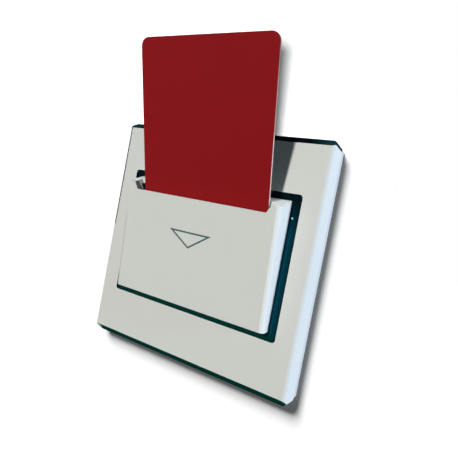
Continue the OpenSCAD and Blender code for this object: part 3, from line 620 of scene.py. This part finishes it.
@dataclass
class FacePlate:
    """Square wall plate: flat pale face, dark bevelled sides with cut corners, a window and ribs behind."""

    outer: float = 92.8
    face: float = 88.0
    front: float = -7.0
    bevel_end: float = -4.1
    corner_cut: float = 3.0
    rim_inset: float = 0.3
    rim_wall: float = 2.0
    face_back: float = -5.3
    ledge_back: float = -4.1
    window: tuple[float, float] = (73.6, 52.3)
    window_lift: float = 0.2
    window_r: float = 1.0
    window_edge: float = 0.2
    laps: tuple[float, float] = (0.3, 0.33)
    lap_back: float = -6.45
    overlap: float = 0.2
    through: tuple[float, float] = (-9.0, 2.0)
    ledge: float = 1.0
    rib_count: int = 5
    rib: float = 1.0
    rib_short: float = 0.05
    root: float = 0.4
    post_at: tuple[float, float] = (17.75, 36.15)
    post_wide: float = 6.0
    post_back: float = -0.6
    soft_r: float = 0.9
    soft_steps: int = 4
    soft_in: float = 0.4
    edge_share: float = 0.14
    margin: float = 0.3
    # Painted shade on the bevels: dark on the left above a slanting line, dark at the upper right corner,
    # pale at the lower left tip
    left_from: float = 0.9
    left_taper: float = 2.5
    dark_corner: float = 88.85
    low_extra: float = 0.55
    pale_tip: float = -42.2
    # Cosines of the flat front, the left rounding's pale part, the lower edge's painted green shade and a
    # bevel's own slope
    level: float = 0.985
    pale_turn: float = 0.66
    green_turn: float = 0.2
    slope: tuple[float, float] = (0.1, 0.06)

    def build(self) -> Piece:
        """Model the plate, dress it and seat it.

        Returns:
            The finished plate.
        """
        plate = self.shell()
        for rib in self.ribs():
            carve(plate, rib, Carve.JOIN)
        front, back = self.through
        carve(plate, self.opening("seat_cut", self.window, self.lap_back, self.face_back))
        carve(plate, self.opening("window_cut", self.window, front, self.lap_back + self.overlap, self.laps))
        inner = (self.window[0] - 2 * self.ledge, self.window[1] - 2 * self.ledge)
        carve(plate, self.opening("inner_cut", inner, front, back))
        round_edges(plate, self.window_edge, 2, self.on_window)
        smooth(plate)
        dress(plate, [PLATE_LACQUER, EDGE_SHADE_DARK, EDGE_SHADE_GREEN, RAW_MOULDING, BEVEL_SHADED_LACQUER], self.finish_at)
        seat(plate, "base", "front_frame", "front_frame")
        return plate

    def on_window(self, place: Vector, aim: Vector) -> bool:
        """Tell an edge at the window's front."""
        wide, high = (size / 2 + NEAR for size in self.window)
        return place.y < self.front + NEAR and abs(place.x) < wide and abs(place.z - self.window_lift) < high

    def shell(self) -> Piece:
        """Model the bevelled block with its cut corners, rim and hollow back.

        Returns:
            The plate before its window is cut.
        """
        half = self.outer / 2
        plate = block("face_plate", (-half, self.front, -half), (half, self.bevel_end, half))
        pick(plate, Element.FACE, lambda p, n: n.y < -ALONG)
        shrink = self.face / self.outer
        bpy.ops.transform.resize(value=(shrink, 1.0, shrink), center_override=(0.0, self.front * MM, 0.0))
        reach = half - self.corner_cut / 2
        for side in (-1, 1):
            for end in (-1, 1):
                split(plate, (side * reach, 0.0, end * reach), (side, 0.0, end), lambda p, n: True,
                      use_fill=True, clear_outer=True)
        pick(plate, Element.FACE, lambda p, n: n.y > ALONG)
        bpy.ops.mesh.inset(thickness=self.rim_inset * MM, depth=0.0)
        bpy.ops.mesh.extrude_region_move(TRANSFORM_OT_translate={"value": (0.0, -self.bevel_end * MM, 0.0)})
        bpy.ops.mesh.inset(thickness=self.rim_wall * MM, depth=0.0)
        bpy.ops.mesh.extrude_region_move(TRANSFORM_OT_translate={"value": (0.0, self.face_back * MM, 0.0)})
        push(plate, (0.0, 0.0, -self.low_extra),
             lambda p, n: abs(p.y - self.bevel_end) < NEAR and p.z < NEAR - half)
        self.soften(plate)
        self.divide(plate)
        return plate

    def divide(self, plate: Piece) -> None:
        """Divide the left, lower and right bevels where their painted shade changes.

        Args:
            plate: the plate's shell, with its edges rounded.
        """
        corner = self.dark_corner / 2
        facing, toward = self.slope
        for side, place, across in (
                ((-1, 0, 0), (-self.face / 2, 0.0, self.left_from), (-self.left_taper, 0.0, 1.0)),
                ((0, 0, -1), (self.pale_tip, 0.0, 0.0), (1.0, 0.0, 0.0)),
                ((1, 0, 0), (corner, 0.0, corner), (1.0, 0.0, 1.0))):
            split(plate, place, across, lambda p, n: p.y < self.bevel_end and n.y < -facing
                  and n.dot(Vector(side)) > toward)

    def soften(self, plate: Piece) -> None:
        """Round the left and right front edges widely, and the outer edges just enough to catch light.

        Args:
            plate: the plate's shell.
        """
        mesh = plate.data
        weights = mesh.attributes.new("bevel_weight_edge", "FLOAT", "EDGE")
        for edge in mesh.edges:
            a, b = (mesh.vertices[i].co / MM for i in edge.vertices)
            middle = (a + b) / 2
            reach = max(abs(middle.x), abs(middle.z))
            behind_front = min(a.y, b.y) > self.front + NEAR
            if middle.y < self.front + NEAR and abs(middle.x) > self.face / 2 - self.margin:
                weights.data[edge.index].value = 1.0
            elif behind_front and middle.y < self.bevel_end + NEAR and reach > self.face / 2 + self.margin:
                weights.data[edge.index].value = self.edge_share
        apply_modifier(plate, "BEVEL", width=self.soft_r * MM, segments=self.soft_steps,
                       limit_method="WEIGHT")

    def opening(self, name: str, size: tuple[float, float], low: float, high: float,
                laps: tuple[float, float] = (0.0, 0.0)) -> Piece:
        """Make a block with rounded corners, the window's shape.

        Args:
            name: name of the block.
            size: width and height in mm.
            low: front end in y.
            high: back end in y.
            laps: how much it stays short on the left and at the top.

        Returns:
            The block.
        """
        w, h = size[0] / 2, size[1] / 2
        tool = block(name, (laps[0] - w, low, self.window_lift - h),
                     (w, high, self.window_lift + h - laps[1]))
        round_edges(tool, self.window_r, self.soft_steps, lambda p, a: abs(a.y) > ALONG)
        return tool

    def ribs(self) -> list[Piece]:
        """Make the ledge round the window, the stiffening ribs and the four centring posts.

        Returns:
            The blocks, to be joined to the plate.
        """
        root = self.face_back - self.root
        ledge = (self.window[0] + 2 * self.ledge, self.window[1] + 2 * self.ledge)
        made = [self.opening("ledge", ledge, root, self.ledge_back)]
        inside = self.window[0] / 2 - self.root
        outside = self.outer / 2 - self.rim_inset - self.rim_wall / 2
        step = self.outer / (self.rib_count + 1)
        for side in (-1, 1):
            for i in range(1, self.rib_count + 1):
                z = i * step - self.outer / 2
                x = sorted((side * inside, side * outside))
                made.append(block("rib", (x[0], root, z - self.rib / 2),
                                  (x[1], self.ledge_back - self.rib_short, z + self.rib / 2)))
            for level in (-1, 1):
                x, z = side * self.post_at[0], level * self.post_at[1]
                made.append(block("post", (x - self.post_wide / 2, root, z - self.rib / 2),
                                  (x + self.post_wide / 2, self.post_back, z + self.rib / 2)))
        return made

    def finish_at(self, place: Vector, normal: Vector) -> Finish:
        """Choose a face's finish.

        Args:
            place: middle of the face in mm.
            normal: direction the face looks in.

        Returns:
            The finish.
        """
        reach, half = max(abs(place.x), abs(place.z)), self.face / 2
        if place.y < self.front + self.margin and reach < half + NEAR and normal.y < -self.level:
            return PLATE_LACQUER
        outside = place.y < self.bevel_end + NEAR or place.x * normal.x + place.z * normal.z > 0.0
        if outside and reach > half - self.soft_in and normal.y < HALF_TURNED:
            return self.edge_finish(place, normal)
        in_window = abs(place.x) < self.window[0] / 2 + self.margin and place.y < self.face_back + NEAR
        # The window's walls carry painted shade: bottle green on the lower wall, black teal on the others
        if in_window and normal.y < HALF_TURNED:
            return EDGE_SHADE_GREEN if normal.z > HALF_TURNED else EDGE_SHADE_DARK
        return RAW_MOULDING

    def edge_finish(self, place: Vector, normal: Vector) -> Finish:
        """Choose the finish of a face on the plate's outer sides, which carry painted shade: dark above a
        slanting line on the left, dark on top and at the upper right corner, green below, and the darker
        bevel lacquer on the right and at the lower left tip.

        Args:
            place: middle of the face in mm.
            normal: direction the face looks in.

        Returns:
            The finish.
        """
        tip = self.left_from + self.left_taper * (place.x + self.face / 2)
        upright = abs(normal.z) < OFF_SQUARE
        if normal.x < 0.0 and normal.y < -self.pale_turn and upright and place.z < tip:
            return PLATE_LACQUER
        if normal.x > OFF_SQUARE and place.x + place.z > self.dark_corner:
            return EDGE_SHADE_DARK
        if normal.x > OFF_SQUARE and upright:
            return BEVEL_SHADED_LACQUER if normal.x > LEANING else PLATE_LACQUER
        at_tip = normal.z < -LEANING and place.x < self.pale_tip
        if at_tip or (normal.x > LEANING and normal.z < LEANING):
            return BEVEL_SHADED_LACQUER
        return EDGE_SHADE_GREEN if normal.z < -self.green_turn else EDGE_SHADE_DARK


@dataclass
class CardPocket:
    """Wedge-shaped pocket: leaning front, sloped top with a slot, and a lowered lip with sloped ends."""

    back: float = -6.4
    low: float = FRONT_FOOT[2]
    high: float = 23.7
    half: float = 33.5
    half_front: float = 33.0
    half_front_low: float = 33.6
    half_low: float = 33.7
    front_low: float = FRONT_FOOT[1]
    front_top: tuple[float, float] = (-15.4, 20.756)
    corner_r: float = 1.8
    corner_steps: int = 10
    wall: float = 1.5
    edge_r: float = 0.22
    edge_angle: float = 40.0
    slot: tuple[float, float] = (55.98, 1.96)
    lip_half: float = 28.0
    lip_flare: float = 1.5 / 2.6
    lip_z: float = 17.9
    lip_rise: float = 12.0
    lip_out: float = 4.3
    lip_deep: float = 5.2
    lip_deep_right: float = 3.2
    cheek_sides: tuple[float, float] = (28.05, 31.4)
    cheek_front: float = 0.7
    cheek_back: float = 3.7
    cheek_ends: tuple[float, float] = (1.5, 2.2)
    cheek_slope: float = 1.7
    # Reach in mm, beside the lip and below it, of the painted shade on the notch's left end wall
    notch_shade_reach: tuple[float, float] = (0.5, 2.0)
    lean: float = FRONT_LEAN
    card_foot: Point = CARD_FOOT
    card_tilt: float = CARD_TILT
    card_in: float = 28.1
    # Cosines of the two ends of the left rounding's painted shade, and of a face that looks back
    edge_shade_turn: tuple[float, float] = (-0.97, -0.25)
    back_turn: float = 0.6

    def build(self) -> Piece:
        """Model the pocket, dress it and seat it.

        Returns:
            The finished pocket.
        """
        pocket = block("card_pocket", (-self.half, self.front_low, self.low),
                       (self.half, self.back, self.high))
        front = self.front_low + NEAR
        push(pocket, (0.0, self.front_top[0] - self.front_low, self.front_top[1] - self.high),
             lambda p, n: p.y < front and p.z > 0)
        widen(pocket, self.half_front / self.half, lambda p, n: p.y < front)
        widen(pocket, self.half_front_low / self.half_front, lambda p, n: p.y < front and p.z < 0)
        widen(pocket, self.half_low / self.half, lambda p, n: p.y > front and p.z < 0)
        round_edges(pocket, self.corner_r, self.corner_steps, lambda p, a: abs(a.z) > ALONG and p.y < front)
        pick(pocket, Element.FACE, lambda p, n: n.y > ALONG)
        bpy.ops.mesh.delete(type="FACE")
        apply_modifier(pocket, "SOLIDIFY", thickness=self.wall * MM, offset=-1.0, use_even_offset=True)
        for side in (-1, 1):
            carve(pocket, self.cheek_block(side), Carve.JOIN)
        carve(pocket, self.lip_tool())
        carve(pocket, self.slot_tool())
        apply_modifier(pocket, "BEVEL", width=self.edge_r * MM, segments=2, limit_method="ANGLE",
                       angle_limit=math.radians(self.edge_angle))
        smooth(pocket)
        dress(pocket, [POCKET_LACQUER, RAW_MOULDING, GUIDE_MATT_AND_NOTCH_SHADE, POCKET_EDGE_SHADE, POCKET_SHADED_SIDE], self.finish_at)
        seat(pocket, "base", "pocket_cover", "pocket_cover")
        return pocket

    def finish_at(self, place: Vector, normal: Vector) -> Finish:
        """Choose a face's finish.

        Args:
            place: middle of the face in mm.
            normal: direction the face looks in.

        Returns:
            The finish.
        """
        # The notch's left end wall gets the guide's grey-brown as painted shade
        beside, below = self.notch_shade_reach
        at_end = self.lip_half - beside < -place.x < self.half_front - self.wall
        if at_end and normal.x > HALF_TURNED and place.z > self.lip_z - below:
            return GUIDE_MATT_AND_NOTCH_SHADE
        # The left front rounding carries painted shade, and the sides get the side lacquer's painted shade
        on_side = abs(place.x) > self.half_front - self.corner_r and place.x * normal.x > 0.0
        if on_side and self.edge_shade_turn[0] < normal.x < self.edge_shade_turn[1]:
            return POCKET_EDGE_SHADE
        if on_side and (normal.x <= self.edge_shade_turn[0] or normal.x > HALF_TURNED):
            return POCKET_SHADED_SIDE
        return RAW_MOULDING if normal.y > self.back_turn else POCKET_LACQUER

    def lip_start(self) -> float:
        """Give the lip's height along the leaning front."""
        return (self.lip_z - self.low) / math.cos(math.radians(self.lean))

    def slot_tool(self) -> Piece:
        """Make the tool for the card's slot, tilted as the card is.

        Returns:
            The tool in place.
        """
        wide, thick = self.slot[0] / 2, self.slot[1] / 2
        tool = block("slot_tool", (-wide, -thick, self.card_in), (wide, thick, 2 * self.card_in))
        place_in_mesh(tool, self.card_foot, self.card_tilt)
        return tool

    def lip_tool(self) -> Piece:
        """Make the tool for the lowered lip, square to the leaning front and wider at its top.

        Returns:
            The tool in place.
        """
        start = self.lip_start()
        tool = block("lip_tool", (-self.lip_half, -self.lip_out, start),
                     (self.lip_half, self.lip_deep, start + self.lip_rise))
        widen(tool, 1.0 + self.lip_rise * self.lip_flare / self.lip_half, lambda p, n: p.z > start + NEAR)
        push(tool, (0.0, self.lip_deep_right - self.lip_deep, 0.0), lambda p, n: p.x > 0.0 and p.y > 0.0)
        place_in_mesh(tool, (0.0, self.front_low, self.low), self.lean)
        return tool

    def cheek_block(self, side: int) -> Piece:
        """Make the solid cheek that closes one end of the slot, under the sloped top.

        Args:
            side: -1 for the left end, 1 for the right.

        Returns:
            The block in place.
        """
        start = self.lip_start()
        x = sorted(side * reach for reach in self.cheek_sides)
        cheek = block("cheek", (x[0], self.cheek_front, start - self.cheek_ends[0]),
                      (x[1], self.cheek_back, start + self.cheek_ends[1]))
        push(cheek, (0.0, 0.0, self.cheek_slope), lambda p, n: p.z > start and p.y > self.cheek_front + NEAR)
        place_in_mesh(cheek, (0.0, self.front_low, self.low), self.lean)
        return cheek


@dataclass
class KeyCard:
    """Red plastic key card with rounded corners, a paler core at its edge and a tape on its back."""

    width: float = 53.98
    length: float = 85.6
    thick: float = 0.76
    corner_r: float = 3.18
    corner_steps: int = 12
    edge_r: float = 0.08
    crease: float = 25.0
    aside: float = 0.85
    foot: Point = CARD_FOOT
    tilt: float = CARD_TILT
    tape: tuple[float, float] = (5.5, 12.7)

    def build(self) -> Piece:
        """Model the card, dress it and seat it.

        Returns:
            The finished card.
        """
        half, deep = self.width / 2, self.thick / 2
        card = block("red_card", (self.aside - half, -deep, 0.0), (self.aside + half, deep, self.length))
        round_edges(card, self.corner_r, self.corner_steps, lambda p, a: abs(a.y) > ALONG)
        round_edges(card, self.edge_r, 2, lambda p, a: abs(abs(p.y) - deep) < NEAR)
        for x in self.tape_sides():
            split(card, (x, 0.0, 0.0), (1.0, 0.0, 0.0), lambda p, n: True)
        dress(card, [CARD_PRINT, CARD_CORE, CARD_TAPE], self.finish_at)
        place_in_mesh(card, self.foot, self.tilt)
        smooth(card, self.crease)
        # The plate beside the card stays grey in the photo, so the card throws no red light on it
        card.visible_diffuse = False
        seat(card, "card", "key_card", "key_card")
        return card

    def tape_sides(self) -> tuple[float, float]:
        """Give the places of the tape's right and left sides across the card."""
        right = self.aside + self.width / 2 - self.tape[0]
        return right, right - self.tape[1]

    def finish_at(self, place: Vector, normal: Vector) -> Finish:
        """Choose a face's finish, before the card is leaned.

        Args:
            place: middle of the face in mm.
            normal: direction the face looks in.

        Returns:
            The finish.
        """
        if abs(normal.y) < HALF_TURNED:
            return CARD_CORE
        right, left = self.tape_sides()
        return CARD_TAPE if normal.y > ALONG and left < place.x < right else CARD_PRINT


@dataclass
class ArrowMark:
    """Outline triangle printed on the pocket's front, pointing down to where the card goes."""

    centre_x: float = -0.75
    centre_up: float = 26.56
    width: float = 18.4
    height: float = 6.3
    line: float = 0.6
    thick: float = 0.03
    foot: Point = FRONT_FOOT
    lean: float = FRONT_LEAN

    def build(self) -> Piece:
        """Model the outline, dress it and seat it.

        Returns:
            The finished mark.
        """
        settle()
        # A triangle in a circle of radius 1 is the root of 3 wide and 1.5 high
        bpy.ops.mesh.primitive_circle_add(vertices=3, radius=1.0, fill_type="NGON",
                                          rotation=(0.0, 0.0, math.pi))
        mark = bpy.context.object
        mark.name = mark.data.name = "arrow_mark"
        mark.scale = (self.width / math.sqrt(3) * MM, self.height / 1.5 * MM, 1.0)
        bpy.ops.object.transform_apply(location=True, rotation=True, scale=True)
        pick(mark, Element.FACE, lambda p, n: True)
        bpy.ops.mesh.inset(thickness=self.line * MM, depth=0.0)
        bpy.ops.mesh.delete(type="FACE")
        pick(mark, Element.FACE, lambda p, n: True)
        bpy.ops.mesh.extrude_region_move(TRANSFORM_OT_translate={"value": (0.0, 0.0, self.thick * MM)})
        bpy.ops.mesh.select_all(action="SELECT")
        bpy.ops.mesh.normals_make_consistent(inside=False)
        lean = math.radians(self.lean)
        place_in_mesh(mark, (self.centre_x, self.foot[1] - self.centre_up * math.sin(lean),
                             self.foot[2] + self.centre_up * math.cos(lean)), 90.0 + self.lean)
        smooth(mark)
        dress(mark, [ARROW_INK], lambda p, n: ARROW_INK)
        seat(mark, "base", "pocket_cover")
        return mark


@dataclass
class LampLens:
    """Small domed lens of the indicator lamp, on the dark ring beside the pocket."""

    dome: float = 0.35
    steps: int = 24
    clear: float = 0.72
    crease: float = 40.0

    def build(self) -> Piece:
        """Model the lens on the lamp's own place, dress it and seat it.

        Returns:
            The finished lens.
        """
        low, high = (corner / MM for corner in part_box("indicator_led"))
        radius, x, z = (high.x - low.x) / 2, (low.x + high.x) / 2, (low.z + high.z) / 2
        rim = low.y + self.dome * radius
        settle()
        bpy.ops.mesh.primitive_uv_sphere_add(segments=self.steps, ring_count=self.steps // 2,
                                             radius=radius * MM, rotation=(math.pi / 2, 0.0, 0.0))
        lens = bpy.context.object
        lens.name = lens.data.name = "lamp_lens"
        lens.scale = (1.0, 1.0, self.dome)
        lens.location = (x * MM, rim * MM, z * MM)
        bpy.ops.object.transform_apply(location=True, rotation=True, scale=True)
        split(lens, (0.0, rim, 0.0), (0.0, 1.0, 0.0), lambda p, n: True, use_fill=True, clear_outer=True,
              threshold=MERGED * MM)
        pick(lens, Element.FACE, lambda p, n: n.y > ALONG and p.y > rim - NEAR)
        bpy.ops.mesh.extrude_region_move(TRANSFORM_OT_translate={"value": (0.0, (high.y - rim) * MM, 0.0)})
        settle()
        smooth(lens, self.crease)
        dress(lens, [LENS_CLEAR, BEZEL_TEAL_SHADE_GLOW], lambda p, n: BEZEL_TEAL_SHADE_GLOW
              if math.hypot(p.x - x, p.z - z) > self.clear * radius else LENS_CLEAR)
        seat(lens, "base", "indicator_led", "indicator_led")
        return lens


@dataclass
class InnerWorks:
    """The CAD pieces that keep their shape, each with its finish."""

    finishes: dict[str, Finish] = field(default_factory=lambda: {
        "inner_bezel": BEZEL_TEAL_SHADE_GLOW, "card_guide": GUIDE_MATT_AND_NOTCH_SHADE, "mounting_yoke": YOKE_ZINC,
        "bezel_screws": SCREW_ZINC, "housing_screws": SCREW_ZINC, "terminal_screws": SCREW_ZINC,
        "housing": HOUSING_GREY, "rear_cover": COVER_GREY, "lever": LEVER_ACETAL, "lever_pin": PIN_GROUND,
        "lever_spring": SPRING_WIRE, "microswitch_case": CASE_BLACK, "microswitch_plunger": PLUNGER_RED,
        "microswitch_tabs": BRASS, "terminal_clamps": BRASS, "circuit_board": BOARD_GREEN,
        "relay": RELAY_BLUE, "film_capacitor": CAPACITOR_YELLOW, "electrolytic_capacitor": SLEEVE_DARK,
        "varistor": VARISTOR_BLUE, "terminal_block": TERMINAL_GREEN})

    def build(self, nodes: dict[str, Piece]) -> None:
        """Dress every CAD piece.

        Args:
            nodes: the frame's CAD objects by name.
        """
        for name, finish in self.finishes.items():
            nodes[name].data.materials.clear()
            nodes[name].data.materials.append(material_of(finish))
            LOG.info("%s: %s", name, finish.name)


@dataclass(frozen=True)
class Lamp:
    """A distant lamp: the way its light goes, its strength, colour, spread in degrees and reach."""

    name: str
    travel: Point
    strength: float
    colour: str
    spread: float
    reach: Reach

    def build(self) -> Piece:
        """Hang the lamp.

        Returns:
            The lamp's object.
        """
        light = bpy.data.lights.new(self.name, "SUN")
        light.energy = self.strength
        light.color = linear(self.colour)[:3]
        light.angle = math.radians(self.spread)
        lamp = bpy.data.objects.new(self.name, light)
        lamp.rotation_euler = Vector(self.travel).to_track_quat("-Z", "Y").to_euler()
        bpy.context.scene.collection.objects.link(lamp)
        return lamp


@dataclass
class Studio:
    """Pale floor, two wall boards, soft lamps and the camera at the photograph's viewing angle."""

    floor_z: float = -100.0
    wall_y: float = 0.3
    span: float = 1500.0
    board: tuple[float, float] = (64.0, 56.5)
    board_drop: float = 9.5
    upper: tuple[float, float] = (64.0, 50.0)
    floor_paper: tuple[str, float] = ("#D8D8D7", 0.78)
    board_paper: tuple[str, float] = ("#808080", 0.09)
    upper_paper: tuple[str, float] = ("#F0F0EF", 0.11)
    ambient: float = 0.04
    sky: str = "#CEF7FF"
    eye: Point = (76.740, -141.221, 17.790)
    right: Point = (0.855577, 0.483588, 0.184745)
    down: Point = (0.177346, 0.061473, -0.982227)
    ahead: Point = (-0.486349, 0.873135, -0.033167)
    lens: float = 31.322
    sensor: float = 36.0
    shift: tuple[float, float] = (0.04496, -0.02857)
    clip: tuple[float, float] = (0.002, 20.0)
    lamps: tuple[Lamp, ...] = (
        Lamp("key_lamp", (0.18, 1.0, -0.4), 2.95, "#FFFEFA", 4.5, Reach.PIECES),
        Lamp("side_lamp", (-1.0, 0.0, -0.32), 4.5, "#E2EEFF", 14.0, Reach.ROOM),
        Lamp("back_lamp", (0.5, -1.0, -0.6), 2.6, "#FFFFFF", 12.0, Reach.ROOM),
        Lamp("wall_lamp", (0.53, 1.0, -1.08), 21.8, "#FFFFFF", 27.0, Reach.BOARD),
        Lamp("card_lamp", (-0.265, 1.0, 0.38), 6.0, "#FFFFFF", 17.0, Reach.UPPER))
    card: str = "red_card"

    def build(self) -> None:
        """Set up the view, the world, the stage, the lamps and the camera."""
        bpy.context.scene.view_settings.view_transform = "Standard"
        self.world()
        floor = self.sheet("floor", (0.0, 0.0, self.floor_z), 0.0, (self.span, self.span), self.floor_paper)
        board = self.sheet("wall_board", (0.0, self.wall_y, -self.board_drop), 90.0, self.board,
                           self.board_paper)
        middle = self.board[1] - self.board_drop + self.upper[1]
        upper = self.sheet("upper_board", (0.0, self.wall_y, middle), 90.0, self.upper, self.upper_paper)
        for lamp in self.lamps:
            self.limit(lamp.build(), lamp.reach, floor, board, upper)
        self.camera()

    def limit(self, lamp: Piece, reach: Reach, floor: Piece, board: Piece, upper: Piece) -> None:
        """Keep a lamp to what it may light, and to what may shade it.

        Args:
            lamp: the lamp.
            reach: what the lamp lights.
            floor: the floor.
            board: the wall board behind the plate, which takes the plate's shadow alone.
            upper: the wall board above it, which takes the card's shadow alone.
        """
        card = bpy.data.objects[self.card]
        lit = {Reach.PIECES: ([board, upper, floor], False), Reach.ROOM: ([board, upper], False),
               Reach.BOARD: ([board], True), Reach.UPPER: ([upper], True)}
        shade = {Reach.BOARD: ([card], False), Reach.UPPER: ([card], True)}
        lamp.light_linking.receiver_collection = self.group(lamp.name + "_reach", *lit[reach])
        if reach in shade:
            lamp.light_linking.blocker_collection = self.group(lamp.name + "_shade", *shade[reach])

    def group(self, name: str, members: list[Piece], only: bool) -> bpy.types.Collection:
        """Make a lamp's group of objects.

        Args:
            name: name of the group.
            members: objects the group names.
            only: True for these objects alone, False for all but these.

        Returns:
            The group.
        """
        group = bpy.data.collections.new(name)
        for member in members:
            group.objects.link(member)
        for entry in group.collection_objects:
            entry.light_linking.link_state = "INCLUDE" if only else "EXCLUDE"
        return group

    def world(self) -> None:
        """Make a dim even sky that looks white to the camera and in reflections."""
        world = bpy.data.worlds.new("studio")
        bpy.context.scene.world = world
        world.use_nodes = True
        tree = world.node_tree
        tree.nodes.clear()
        seen = self.seen(tree)
        level = add_node(tree, "ShaderNodeMapRange", inputs={
            "Value": seen, "To Min": self.ambient, "To Max": 1.0}).outputs[0]
        tint = add_node(tree, "ShaderNodeMix", {"data_type": "RGBA"}, {
            0: seen, 6: linear(self.sky), 7: (1.0, 1.0, 1.0, 1.0)}).outputs[2]
        sky = add_node(tree, "ShaderNodeBackground", inputs={"Color": tint, "Strength": level})
        add_node(tree, "ShaderNodeOutputWorld", inputs={"Surface": sky.outputs[0]})

    def seen(self, tree: Tree) -> Socket:
        """Tell camera, glossy and transmission rays from the light's own.

        Args:
            tree: the node tree that asks.

        Returns:
            A socket that is 1 for a ray that shows the background.
        """
        path = add_node(tree, "ShaderNodeLightPath").outputs
        first = add_node(tree, "ShaderNodeMath", {"operation": "MAXIMUM"}, {
            0: path["Is Camera Ray"], 1: path["Is Glossy Ray"]}).outputs[0]
        return add_node(tree, "ShaderNodeMath", {"operation": "MAXIMUM"}, {
            0: first, 1: path["Is Transmission Ray"]}).outputs[0]

    def paper(self, colour: str, glow: float) -> bpy.types.Material:
        """Make matt paper that keeps shadows and is clear from behind.

        Args:
            colour: the paper's colour.
            glow: how much brighter it looks to the camera.

        Returns:
            The stage's material.
        """
        paper = bpy.data.materials.new("matt_white_paper")
        paper.use_nodes = True
        tree = paper.node_tree
        tree.nodes.clear()
        lift = add_node(tree, "ShaderNodeMapRange", inputs={
            "Value": self.seen(tree), "To Min": 0.0, "To Max": glow}).outputs[0]
        white = add_node(tree, "ShaderNodeBsdfDiffuse", inputs={"Color": linear(colour)}).outputs[0]
        shine = add_node(tree, "ShaderNodeEmission", inputs={
            "Color": (1.0, 1.0, 1.0, 1.0), "Strength": lift}).outputs[0]
        front = add_node(tree, "ShaderNodeAddShader", inputs={0: white, 1: shine}).outputs[0]
        clear = add_node(tree, "ShaderNodeBsdfTransparent").outputs[0]
        behind = add_node(tree, "ShaderNodeNewGeometry").outputs["Backfacing"]
        sides = add_node(tree, "ShaderNodeMixShader", inputs={0: behind, 1: front, 2: clear}).outputs[0]
        add_node(tree, "ShaderNodeOutputMaterial", inputs={"Surface": sides})
        return paper

    def sheet(self, name: str, place: Point, turn_x: float, half: tuple[float, float],
              paper: tuple[str, float]) -> Piece:
        """Lay one sheet of the stage.

        Args:
            name: name of the sheet.
            place: its middle in mm.
            turn_x: turn about X in degrees.
            half: half its width and height in mm.
            paper: its colour and its glow.

        Returns:
            The sheet.
        """
        settle()
        bpy.ops.mesh.primitive_plane_add(size=2.0)
        sheet = bpy.context.object
        sheet.name = sheet.data.name = name
        sheet.scale = (half[0] * MM, half[1] * MM, 1.0)
        place_in_mesh(sheet, place, turn_x)
        sheet.data.materials.append(self.paper(*paper))
        sheet.visible_shadow = False
        sheet.visible_diffuse = False
        return sheet

    def camera(self) -> None:
        """Place the camera where the photograph was taken from."""
        data = bpy.data.cameras.new("photo_view")
        data.lens, data.sensor_width = self.lens, self.sensor
        data.shift_x, data.shift_y = self.shift
        data.clip_start, data.clip_end = self.clip
        camera = bpy.data.objects.new("photo_view", data)
        rows = [[self.right[i], -self.down[i], -self.ahead[i], self.eye[i] * MM] for i in range(3)]
        camera.matrix_world = Matrix((*rows, (0.0, 0.0, 0.0, 1.0)))
        bpy.context.scene.collection.objects.link(camera)
        bpy.context.scene.camera = camera


def main() -> None:
    """Build the classes in order around the frame."""
    logging.basicConfig(level=logging.INFO, format="%(name)s %(message)s")
    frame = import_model()
    FacePlate().build()
    CardPocket().build()
    KeyCard().build()
    ArrowMark().build()
    LampLens().build()
    InnerWorks().build(frame["nodes"])
    Studio().build()
    settle()


if __name__ == "__main__":
    main()
